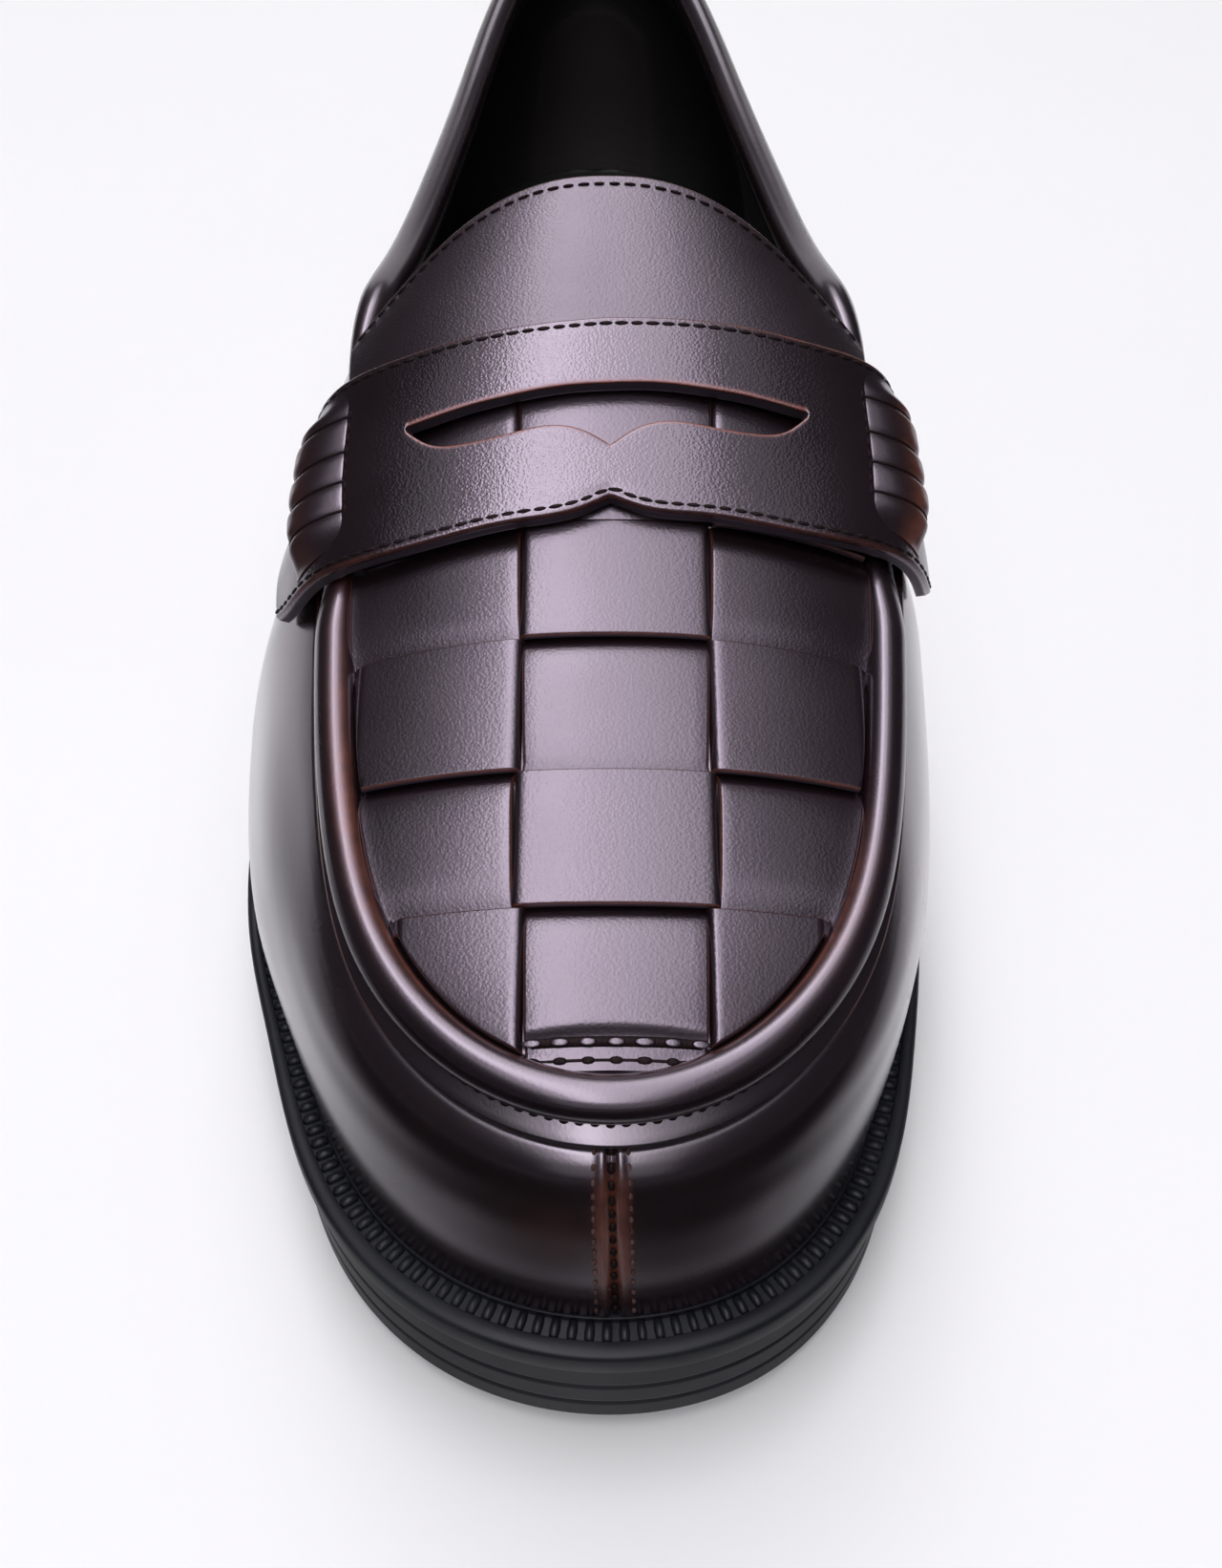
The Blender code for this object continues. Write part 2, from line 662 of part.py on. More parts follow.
def build_collar_roll(collection):
    """Padded roll on the top line, from one side of the tongue round the heel to the other."""
    rows = rows_between(COLLAR_SPREAD_Y, SECTIONS[HEEL_ROW, EDGE_Y], COLLAR_ROWS)
    rows = np.insert(rows[rows > COLLAR_START_Y + ROW_SPACE], 0, COLLAR_START_Y)
    lateral, medial = side_places(EDGE_Y, rows)
    places = np.concatenate([lateral, [KNOTS[HEEL_ROW]], medial[::-1]])
    outward = plan_normal(places, EDGE_X)
    middle = edge_points(places) - outward * WALL / 2 + UP * (FIT + COLLAR_FLAT)
    dip = math.asin(COLLAR_FLAT / COLLAR_RADIUS)
    sections = []
    for i in range(len(places)):
        section = [middle[i] + COLLAR_RADIUS * (outward[i] * math.cos(a) + UP * math.sin(a))
                   for a in np.linspace(-dip, math.pi + dip, COLLAR_POINTS)]
        sections.append(np.array(section))
    return piece("collar_roll", *swept(sections), collection)


def build_tongue(collection):
    """Tongue behind the plug, arched over the instep, with a rounded top."""
    shares = np.linspace(-1.0, 1.0, TONGUE_COLUMNS)
    points = []
    for depth in np.linspace(0.0, 1.0, TONGUE_ROWS):
        for share in shares:
            top = TONGUE_TOP_Y + (TONGUE_CORNER_Y - TONGUE_TOP_Y) * abs(share) ** TONGUE_CORNER_POWER
            y = TONGUE_FRONT_Y + (top - TONGUE_FRONT_Y) * depth
            lateral, medial = (edge_points(np.array([place]))[0]
                               for place in np.ravel(side_places(EDGE_Y, [min(y, TONGUE_CORNER_Y)])))
            x = lateral[0] + (medial[0] - lateral[0]) * (share + 1) / 2
            point = plug_point(y, x, lateral, medial, TONGUE_CROWN_POWER)
            points.append(point + UP * (FIT + (TONGUE_SINK - FIT) * (1 - share**TONGUE_SINK_POWER)))
    points = np.array(points)
    faces = [tuple(reversed(face)) for face in grid_faces(TONGUE_ROWS, TONGUE_COLUMNS)]
    normals = surface_normals(points, faces)
    return piece("tongue", *shell(points + normals * TONGUE_THICK, points, faces), collection)


def strap_curve(y):
    """Smooth curve of the strap's underside at one row, from its lateral to its medial end."""
    sides = []
    for place in np.ravel(side_places(EDGE_Y, [y])):
        place = np.array([place])
        edge = edge_points(place)[0]
        outward = plan_normal(place, EDGE_X)[0]
        sides.append((place, edge, outward))
    (_, left, _), (_, right, _) = sides
    points = []
    for side, (place, edge, outward) in enumerate(sides):
        half = []
        for where, share, out, rise in STRAP_PATH:
            if where == ON_WALL:
                base = wall_points(place, share)[0]
            elif where == ON_SEAT:
                base = seat_points(place, share)[0]
            else:
                x = (left[0] + right[0]) / 2 + (2 * side - 1) * share * (right[0] - left[0]) / 2
                base = plug_point(y, x, left, right, TONGUE_CROWN_POWER)
            half.append(base + outward * out + UP * rise)
        points += half if side == 0 else half[-2::-1]
    points = np.array(points)
    steps = np.concatenate([[0.0], np.cumsum(np.linalg.norm(np.diff(points, axis=0), axis=1))])
    middle = steps[len(STRAP_PATH) - 1]
    knots = np.where(steps < middle, steps / middle - 1, (steps - middle) / (steps[-1] - middle))
    return spline(knots, points)


def strap_frame(across, y):
    """Point of the strap's underside and its outward normal."""
    side_reach, along_reach = 0.02, 0.5
    skewed = y + STRAP_SKEW * across
    curve = strap_curve(skewed)
    side = curve(across + side_reach) - curve(across - side_reach)
    along = strap_curve(skewed + along_reach)(across) - strap_curve(skewed - along_reach)(across)
    return curve(across), unit(np.cross(side, along))


def mirrored_edges(table, across):
    """Front and rear edge at places across the strap, alike on both sides."""
    return spline(table[:, 0], table[:, 1:])(np.abs(across))


def build_strap(collection, cutters):
    """Saddle strap over the instep, with the slot cut out."""
    end = STRAP_EDGES[-1, 0]
    across = np.linspace(-end, end, STRAP_COLUMNS)
    edges = mirrored_edges(STRAP_EDGES, across)
    depth = np.linspace(0.0, 1.0, STRAP_ROWS)
    frames = []
    for share in depth:
        for place, (front, rear) in zip(across, edges):
            frames.append(strap_frame(place, front + (rear - front) * share))
    points = np.array([frame[0] for frame in frames])
    normals = np.array([frame[1] for frame in frames])
    faces = grid_faces(len(depth), len(across))
    strap = piece("strap", *shell(points + normals * STRAP_THICK, points, faces), collection)

    places = np.linspace(-SLOT_EDGES[-1, 0], SLOT_EDGES[-1, 0], SLOT_COLUMNS)
    edges = mirrored_edges(SLOT_EDGES, places)
    outline = [(place, edge[0]) for place, edge in zip(places, edges)]
    outline += [(place, edge[1]) for place, edge in zip(places[::-1], edges[::-1])]
    walls = [strap_frame(place, y) for place, y in outline]
    low = np.array([point - normal * SLOT_REACH for point, normal in walls])
    high = np.array([point + normal * SLOT_REACH for point, normal in walls])
    count = len(outline)
    half = count // 2
    sides = [(i, (i + 1) % count, count + (i + 1) % count, count + i) for i in range(count)]
    floor = [(i, i + 1, count - 2 - i, count - 1 - i) for i in range(half - 1)]
    roof = [tuple(count + i for i in reversed(face)) for face in floor]
    cutter = mesh_object("slot_cutter", np.vstack([low, high]), sides + floor + roof, cutters)
    cutter.hide_render = True
    cutter.display_type = "WIRE"
    cut = strap.modifiers.new("slot", "BOOLEAN")
    cut.operation = "DIFFERENCE"
    cut.solver = "EXACT"
    cut.object = cutter
    return strap


def build_beef_roll(name, side, collection):
    """Wrapped bundle that runs along the strap's end, lower on its inner side."""
    angles = np.linspace(0.0, math.pi, BEEF_POINTS)
    under = (-0.5, 0.0, 0.5)
    sections = []
    for y, share in BEEF_ROWS:
        section = []
        for angle in angles:
            point, normal = strap_frame(side * BEEF_PLACE + BEEF_HALF * math.cos(angle), y)
            inward = -side * math.cos(angle)
            lift = BEEF_HEIGHT * share * math.sin(angle) * (1 - BEEF_SLOPE * inward)
            section.append(point + normal * (STRAP_THICK + FIT + lift))
        for place in under:
            point, normal = strap_frame(side * BEEF_PLACE + BEEF_HALF * place, y)
            section.append(point + normal * (STRAP_THICK + FIT))
        sections.append(np.array(section))
    return piece(name, *swept(sections), collection)


def main():
    """Builds the shoe from the sole up."""
    for item in list(bpy.data.objects):
        bpy.data.objects.remove(item, do_unlink=True)
    shoe = new_collection("braided_loafer")
    cutters = new_collection("cutters")
    build_outsole(shoe)
    build_welt(shoe)
    build_insole(shoe)
    build_upper(shoe)
    build_seam_roll(shoe)
    build_tongue(shoe)
    build_strap(shoe, cutters)
    build_beef_roll("beef_roll_lateral", -1, shoe)
    build_beef_roll("beef_roll_medial", 1, shoe)
    build_collar_roll(shoe)


main()
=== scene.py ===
"""Braided loafer for the right foot: dressed pieces, pale floor, soft light and camera.

Sizes are in millimetres in the shoe's own frame until a mesh is made. The toe points to -Y, the
lateral side is at -X and up is +Z.
"""

import json
import logging
import math
from collections.abc import Callable, Sequence
from dataclasses import dataclass
from enum import Enum

import bmesh
import bpy
import numpy as np
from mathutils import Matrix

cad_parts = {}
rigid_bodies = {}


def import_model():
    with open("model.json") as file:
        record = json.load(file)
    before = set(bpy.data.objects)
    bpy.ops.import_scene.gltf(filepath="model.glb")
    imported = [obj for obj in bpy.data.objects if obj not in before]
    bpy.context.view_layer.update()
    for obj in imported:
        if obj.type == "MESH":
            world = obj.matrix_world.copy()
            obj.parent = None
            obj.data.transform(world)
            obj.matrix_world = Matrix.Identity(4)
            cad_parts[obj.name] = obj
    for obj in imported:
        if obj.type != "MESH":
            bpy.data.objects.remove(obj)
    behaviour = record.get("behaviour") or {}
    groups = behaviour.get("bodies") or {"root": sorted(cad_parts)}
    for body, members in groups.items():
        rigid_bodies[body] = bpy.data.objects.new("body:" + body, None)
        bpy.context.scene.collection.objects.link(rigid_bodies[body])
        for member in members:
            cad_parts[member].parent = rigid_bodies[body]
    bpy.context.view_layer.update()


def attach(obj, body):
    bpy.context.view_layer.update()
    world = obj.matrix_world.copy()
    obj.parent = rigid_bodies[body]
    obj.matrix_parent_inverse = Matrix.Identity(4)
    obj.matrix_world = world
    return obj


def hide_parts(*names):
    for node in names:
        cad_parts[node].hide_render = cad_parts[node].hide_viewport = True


LOG = logging.getLogger("braided_loafer")
Array = np.ndarray
Colour = tuple[float, float, float]
Span = tuple[float, float]
Faces = list[tuple[int, ...]]
Path = tuple[Array, Array]      # points of a row and the way that each of them faces
Socket = bpy.types.NodeSocket
Node = bpy.types.Node
Tree = bpy.types.NodeTree
Material = bpy.types.Material
Item = bpy.types.Object

MM = 0.001
FIT = 0.3               # space between two pieces that touch
CENTRE_SHIFT = 5.0      # brings the middle of the whole shoe to X = 0
UP = np.array([0.0, 0.0, 1.0])

# Sections round the shoe, from the toe along the lateral side to the heel and back.
# sole: outer edge of the welt; edge: plug edge in front, top line behind;
# belly: how far the wall stands out from a straight line.
SOLE_X, SOLE_Y, EDGE_X, EDGE_Y, EDGE_Z, BELLY = range(6)
SECTIONS = np.array([
    (-0.5, -150.5, 0.0, -132.4, 54.2, 2.4),
    (-20.5, -145.2, -11.9, -129.2, 54.6, 2.6),
    (-37.2, -129.0, -22.2, -120.0, 56.4, 3.4),
    (-47.8, -103.0, -29.4, -103.4, 60.0, 4.6),
    (-54.6, -80.0, -33.0, -80.0, 66.0, 5.4),
    (-57.4, -55.0, -34.6, -56.0, 73.5, 6.0),
    (-56.0, -28.0, -36.6, -24.0, 82.5, 6.0),
    (-51.6, 0.0, -34.8, 3.0, 80.0, 5.0),
    (-47.2, 32.0, -31.6, 36.0, 78.0, 4.0),
    (-44.4, 67.0, -28.0, 72.0, 78.8, 4.0),
    (-42.0, 101.0, -23.8, 105.0, 82.3, 5.0),
    (-33.0, 133.0, -16.2, 130.0, 86.5, 5.0),
    (-4.0, 150.5, -3.0, 141.0, 88.5, 4.0),
    (25.6, 133.0, 10.4, 130.0, 86.5, 4.6),
    (34.0, 101.0, 18.8, 105.0, 82.3, 4.2),
    (33.4, 67.0, 24.2, 72.0, 78.8, 2.6),
    (33.4, 32.0, 28.8, 36.0, 78.0, 2.2),
    (38.0, 0.0, 32.6, 3.0, 80.0, 3.0),
    (44.4, -28.0, 35.4, -24.0, 82.5, 4.0),
    (47.4, -56.0, 34.4, -56.0, 73.5, 4.4),
    (46.4, -80.0, 32.8, -80.0, 66.0, 4.4),
    (42.6, -103.0, 29.4, -103.4, 60.0, 4.0),
    (34.4, -129.0, 22.0, -120.0, 56.4, 3.2),
    (19.2, -145.4, 11.8, -129.2, 54.6, 2.6),
])
HEEL_ROW = 12

# Along the shoe: y, top of the welt, width of the welt outside the upper
WELT_ROWS = np.array([
    (-151.0, 22.2, 5.4),
    (-120.0, 19.7, 4.8),
    (-90.0, 18.6, 3.7),
    (-50.0, 18.8, 3.2),
    (-10.0, 20.8, 3.0),
    (30.0, 24.6, 2.8),
    (70.0, 28.8, 2.8),
    (110.0, 31.4, 3.0),
    (150.0, 32.4, 3.4),
])
# Along the middle of plug and tongue: y, height of the crown
CROWN_ROWS = np.array([
    (-131.0, 55.4),
    (-110.0, 61.4),
    (-85.0, 69.6),
    (-60.0, 79.2),
    (-36.0, 90.8),
    (-13.0, 102.0),
])
# Wall at the toe: share of its height, share of the belly that it stands out there
TOE_FULLNESS = np.array([
    (0.0, 0.0),
    (0.15, 0.25),
    (0.30, 0.47),
    (0.45, 0.64),
    (0.60, 0.79),
    (0.70, 0.84),
    (0.80, 0.88),
    (0.88, 0.74),
    (0.95, 0.32),
    (1.0, -0.32),
])
# Strap outline: place across it on either side, front edge and rear edge
STRAP_EDGES = np.array([
    (0.0, -60.9, -35.8),
    (0.06, -62.4, -35.9),
    (0.20, -63.5, -36.1),
    (0.35, -64.3, -36.2),
    (0.50, -64.8, -36.2),
    (0.68, -63.4, -35.2),
    (0.80, -60.8, -34.2),
    (0.90, -57.4, -33.2),
])
# Slot in the strap: place across the strap on either side, front edge and rear edge
SLOT_EDGES = np.array([
    (0.0, -53.8, -45.2),
    (0.05, -51.8, -45.2),
    (0.13, -50.6, -45.4),
    (0.22, -51.2, -45.9),
    (0.32, -51.6, -46.4),
    (0.40, -50.2, -46.9),
    (0.44, -47.9, -47.1),
])
# Rounding of a cut edge: distance from the edge, share of the rounding that is taken off there
EDGE_ROUND = ((0.0, 1.0), (0.08, 0.55), (0.22, 0.22), (0.42, 0.05), (0.7, 0.0))


class Side(Enum):
    """The two long sides of the shoe, with the sign of their X."""

    LATERAL = -1
    MEDIAL = 1


class Bed(Enum):
    """What the strap lies on along its path."""

    WALL = "wall"
    SEAT = "seat"
    VAMP = "vamp"


class Weave(Enum):
    """The two ways that a strip of the plug runs."""

    LENGTHWISE = "lengthwise"
    CROSSWISE = "crosswise"


class Repeat(Enum):
    """What is repeated along a path."""

    STITCH = "stitch"
    TOOTH = "tooth"
    CORD = "cord"


# How the strap lies on the upper: bed, share along it, distance outward and upward
STRAP_PATH = (
    (Bed.WALL, 0.76, 0.4, 0.0),
    (Bed.WALL, 0.90, 0.9, 0.3),
    (Bed.SEAT, 0.60, 2.3, 2.7),
    (Bed.VAMP, 0.72, 0.8, 2.4),
    (Bed.VAMP, 0.36, 0.1, 2.1),
    (Bed.VAMP, 0.0, 0.0, 2.1),
)


def unit(vectors: Array) -> Array:
    """Returns the vectors at length one."""
    return vectors / np.maximum(np.linalg.norm(vectors, axis=-1, keepdims=True), 1e-12)


def smooth_step(value: Array, start: float, end: float) -> Array:
    """Returns 0 before the start, 1 after the end, soft between."""
    x = np.clip((np.asarray(value, float) - start) / (end - start), 0.0, 1.0)
    return x * x * (3 - 2 * x)


def hill(value: Array, middle: float, half: float) -> Array:
    """Returns a soft hill of height one round the middle."""
    return np.exp(-((np.asarray(value, float) - middle) / half) ** 2)


def quads(numbers: Array, wrap: bool = False) -> Faces:
    """Joins a grid of point numbers.

    Args:
        numbers: Point numbers in rows and columns.
        wrap: True where the last column joins the first.

    Returns:
        One face of four corners for each cell.
    """
    if wrap:
        numbers = np.column_stack([numbers, numbers[:, :1]])
    corners = np.stack([numbers[:-1, :-1], numbers[1:, :-1], numbers[1:, 1:], numbers[:-1, 1:]], axis=-1)
    return [tuple(face) for face in corners.reshape(-1, 4).tolist()]


def open_edges(faces: Faces) -> list[tuple[int, int]]:
    """Works out the edges that only one face uses, in that face's order.

    Args:
        faces: Faces by point number.

    Returns:
        The edges.
    """
    edges: dict[tuple[int, int], bool] = {}
    for face in faces:
        for start, end in zip(face, face[1:] + face[:1]):
            edges[(start, end)] = (end, start) in edges
            if (end, start) in edges:
                edges[(end, start)] = True
    return [edge for edge, shared in edges.items() if not shared]


def grid_normals(grid: Array, wrap: bool = False) -> Array:
    """Works out the normals of a grid of points.

    Args:
        grid: Points in rows and columns.
        wrap: True where the last column joins the first.

    Returns:
        Unit normals, on the side of rows crossed with columns.
    """
    down = np.gradient(grid, axis=0)
    if wrap:
        across = np.roll(grid, -1, axis=1) - np.roll(grid, 1, axis=1)
    else:
        across = np.gradient(grid, axis=1)
    return unit(np.cross(down, across))


def link(name: str, data: bpy.types.ID) -> Item:
    """Adds an object to the scene.

    Args:
        name: The object's name.
        data: Its mesh, light or camera.

    Returns:
        The object.
    """
    item = bpy.data.objects.new(name, data)
    bpy.context.scene.collection.objects.link(item)
    return item


class Spline:
    """Smooth curve through the rows of a table."""

    def __init__(self, knots: Array, rows: Array, closed: bool = False) -> None:
        """Works out how the curve bends at each knot.

        Args:
            knots: Rising values, one for each row.
            rows: Values that the curve passes through.
            closed: True where the last row is the first one again.
        """
        self.knots, self.rows, self.closed = knots, rows, closed
        count = len(knots)
        step = np.diff(knots)
        slope = np.diff(rows, axis=0) / step[:, None]
        matrix = np.zeros((count, count))
        right = np.zeros_like(rows)
        for i in range(1, count - 1):
            matrix[i, i - 1:i + 2] = step[i - 1], 2 * (step[i - 1] + step[i]), step[i]
            right[i] = 6 * (slope[i] - slope[i - 1])
        matrix[0, 0] = matrix[-1, -1] = 1.0
        if closed:
            matrix[0, -1] = -1.0
            matrix[-1, :2] = 2 * step[0], step[0]
            matrix[-1, -2:] = step[-1], 2 * step[-1]
            right[-1] = 6 * (slope[0] - slope[-1])
        self.bend = np.linalg.solve(matrix, right)

    def __call__(self, value: Array) -> Array:
        """Works out the rows of the curve at the given knot values.

        Args:
            value: Knot values.

        Returns:
            The rows there.
        """
        value = np.asarray(value, float)
        if self.closed:
            value = np.mod(value, self.knots[-1])
        i = np.clip(np.searchsorted(self.knots, value, side="right") - 1, 0, len(self.knots) - 2)
        step = (self.knots[i + 1] - self.knots[i])[..., None]
        after = (value - self.knots[i])[..., None] / step
        before = 1.0 - after
        curve = (before**3 - before) * self.bend[i] + (after**3 - after) * self.bend[i + 1]
        return before * self.rows[i] + after * self.rows[i + 1] + curve * step**2 / 6


@dataclass
class Last:
    """The shape that the whole shoe is made on."""

    wall: float = 2.2
    seat_width: float = 8.4
    seat_tilt: float = math.radians(50.0)
    top_band: float = 3.0
    seat_fade: Span = (-56.0, -30.0)
    flange_end: float = 0.38
    belly_power: float = 2.6
    toe_fade: Span = (30.0, 75.0)
    plug_power: float = 2.2
    instep_power: float = 2.6
    full_half_width: float = 18.0
    least_half_width: float = 0.01
    toe_spring: float = 4.0
    forefoot: Span = (-98.0, -30.0)
    toe_end: float = -150.0
    arch_rise: float = 10.0
    arch_length: float = 46.0
    breast: Span = (54.0, 58.0)
    samples: int = 3001

    def __post_init__(self) -> None:
        """Makes the curves and the dense tables of places along both sides."""
        middle = (SECTIONS[:, [SOLE_X, SOLE_Y]] + SECTIONS[:, [EDGE_X, EDGE_Y]]) / 2
        steps = np.linalg.norm(np.roll(middle, -1, axis=0) - middle, axis=1)
        knots = np.concatenate([[0.0], np.cumsum(steps)])
        self.length = float(knots[-1])
        self.heel_place = float(knots[HEEL_ROW])
        self.section = Spline(knots, np.vstack([SECTIONS, SECTIONS[:1]]), closed=True)
        self.welt_along = Spline(WELT_ROWS[:, 0], WELT_ROWS[:, 1:])
        self.crown_along = Spline(CROWN_ROWS[:, 0], CROWN_ROWS[:, 1:])
        self.toe_fullness = Spline(TOE_FULLNESS[:, 0], TOE_FULLNESS[:, 1:])
        starts = {Side.LATERAL: 0.0, Side.MEDIAL: self.length}
        self.halves = {}
        for side, start in starts.items():
            places = np.linspace(start, self.heel_place, self.samples)
            rows = self.section(places)
            for column in (SOLE_Y, EDGE_Y):
                self.halves[side, column] = np.maximum.accumulate(rows[:, column]), places

    def places(self, side: Side, column: int, y: Array) -> Array:
        """Returns the places round the shoe where a column passes each y on one side."""
        table_y, table_places = self.halves[side, column]
        return np.interp(y, table_y, table_places)

    def loop(self, column: int, rows: Array) -> Array:
        """Returns places from the toe round the lateral side, the heel and the medial side."""
        lateral, medial = (self.places(side, column, rows) for side in Side)
        return np.concatenate([[0.0], lateral, [self.heel_place], medial[::-1]])

    def welt_top(self, y: Array) -> Array:
        """Returns the height of the top of the welt."""
        return self.welt_along(y)[..., 0]

    def welt_width(self, y: Array) -> Array:
        """Returns how far the welt stands out of the upper."""
        return self.welt_along(y)[..., 1]

    def underside(self, y: Array) -> Array:
        """Works out the height of the sole's underside: toe spring, forefoot, arch and heel.

        Args:
            y: Places along the shoe.

        Returns:
            The heights there.
        """
        y = np.asarray(y, float)
        front, back = self.forefoot
        spring = self.toe_spring * np.clip((front - y) / (front - self.toe_end), 0, None) ** 2
        arch = self.arch_rise * smooth_step(y, back, back + self.arch_length)
        breast = np.clip((self.breast[1] - y) / (self.breast[1] - self.breast[0]), 0.0, 1.0)
        return spring + arch * breast

    def plan_normal(self, places: Array, column: int) -> Array:
        """Works out the outward direction in plan of the sole's outline or of the edge.

        Args:
            places: Places round the shoe.
            column: First column of the line.

        Returns:
            Unit directions.
        """
        reach = 0.5
        step = self.section(places + reach) - self.section(places - reach)
        along = unit(step[:, column:column + 2])
        return np.stack([-along[:, 1], along[:, 0], np.zeros(len(along))], axis=1)

    def sole_ring(self, places: Array, inset: Array, height: Array) -> Array:
        """Works out points of the sole's outline moved inwards, at the given heights.

        Args:
            places: Places round the shoe.
            inset: Distance inwards at each.
            height: Height at each.

        Returns:
            The points.
        """
        sole = self.section(places)[:, [SOLE_X, SOLE_Y]]
        points = np.column_stack([sole, np.broadcast_to(height, len(sole))])
        return points - self.plan_normal(places, SOLE_X) * np.reshape(inset, (-1, 1))

    def edge(self, places: Array) -> Array:
        """Returns points of the plug's edge and the top line."""
        return self.section(places)[:, EDGE_X:EDGE_Z + 1]

    def front(self, places: Array) -> Array:
        """Returns 1 round the plug and 0 along the top line."""
        return 1 - smooth_step(self.section(places)[:, EDGE_Y], *self.seat_fade)

    def seat_axes(self, places: Array) -> tuple[Array, Array, Array]:
        """Works out the direction down the seat band, its normal and its width.

        Args:
            places: Places round the shoe.

        Returns:
            The directions, the normals and the widths.
        """
        fade = 1 - self.front(places)[:, None]
        tilt = self.seat_tilt + (math.pi / 2 - self.seat_tilt) * fade
        outward = self.plan_normal(places, EDGE_X)
        down = outward * np.cos(tilt) - UP * np.sin(tilt)
        normal = outward * np.sin(tilt) + UP * np.cos(tilt)
        return down, normal, self.seat_width + (self.top_band - self.seat_width) * fade

    def from_toe(self, places: Array) -> Array:
        """Returns the distance of places from the middle of the toe, to the lateral side."""
        return (places + self.length / 2) % self.length - self.length / 2

    def wall_points(self, places: Array, share: float) -> Array:
        """Works out points of the wall at a share of the way from the welt to the seat band.

        Args:
            places: Places round the shoe.
            share: Share of the way up.

        Returns:
            The points.
        """
        row = self.section(places)
        y = row[:, SOLE_Y]
        feather = self.sole_ring(places, self.welt_width(y), self.welt_top(y) + FIT)
        down, _, band = self.seat_axes(places)
        top = self.edge(places) + down * band
        outward = unit(self.plan_normal(places, SOLE_X) + self.plan_normal(places, EDGE_X))
        side = 1 - abs(2 * share - 1) ** self.belly_power
        toe = self.toe_fullness(np.array([share]))[0, 0]
        fullness = side + (toe - side) * (1 - smooth_step(np.abs(self.from_toe(places)), *self.toe_fade))
        bulge = (row[:, BELLY] * fullness)[:, None]
        return feather + (top - feather) * share + outward * bulge

    def seat_points(self, places: Array, share: float) -> Array:
        """Returns points of the seat band from its outer edge (0) to the plug's edge (1)."""
        down, _, band = self.seat_axes(places)
        return self.edge(places) + down * band * (1 - share)

    def edge_at(self, side: Side, y: Array) -> Array:
        """Returns points of the plug's edge or the top line where it passes each y."""
        y = np.asarray(y, float)
        return self.edge(self.places(side, EDGE_Y, y.ravel())).reshape(*y.shape, 3)

    def vamp_points(self, x: Array, y: Array, power: float, edge_y: Array | None = None) -> Array:
        """Finds points of the smooth surface between the two edges.

        Args:
            x: Where the points are across the shoe.
            y: Where the points are along the shoe.
            power: How square the surface is across.
            edge_y: Where the edges are read, if not at y.

        Returns:
            The points.
        """
        x, y = np.broadcast_arrays(np.asarray(x, float), np.asarray(y, float))
        reading = y if edge_y is None else edge_y
        left, right = self.edge_at(Side.LATERAL, reading), self.edge_at(Side.MEDIAL, reading)
        half = np.maximum((right[..., 0] - left[..., 0]) / 2, self.least_half_width)
        share = np.clip((x - (left[..., 0] + right[..., 0]) / 2) / half, -1.0, 1.0)
        edge = left[..., 2] + (right[..., 2] - left[..., 2]) * (share + 1) / 2
        rise = (self.crown_along(y)[..., 0] - edge) * np.minimum(1.0, half / self.full_half_width)
        return np.stack([x, y, edge + rise * (1 - np.abs(share) ** power)], axis=-1)

    def plug_surface(self, x: Array, y: Array, lift: Array) -> Array:
        """Works out points that stand a given distance over the smooth plug.

        Args:
            x: Where the points are across the shoe.
            y: Where they are along the shoe.
            lift: Their distance over the plug.

        Returns:
            The points.
        """
        reach = 0.4
        middle, right, left, back, front = (
            self.vamp_points(x + reach * across, y + reach * along, self.plug_power)
            for across, along in ((0, 0), (1, 0), (-1, 0), (0, 1), (0, -1)))
        return middle + unit(np.cross(right - left, back - front)) * np.asarray(lift, float)[..., None]


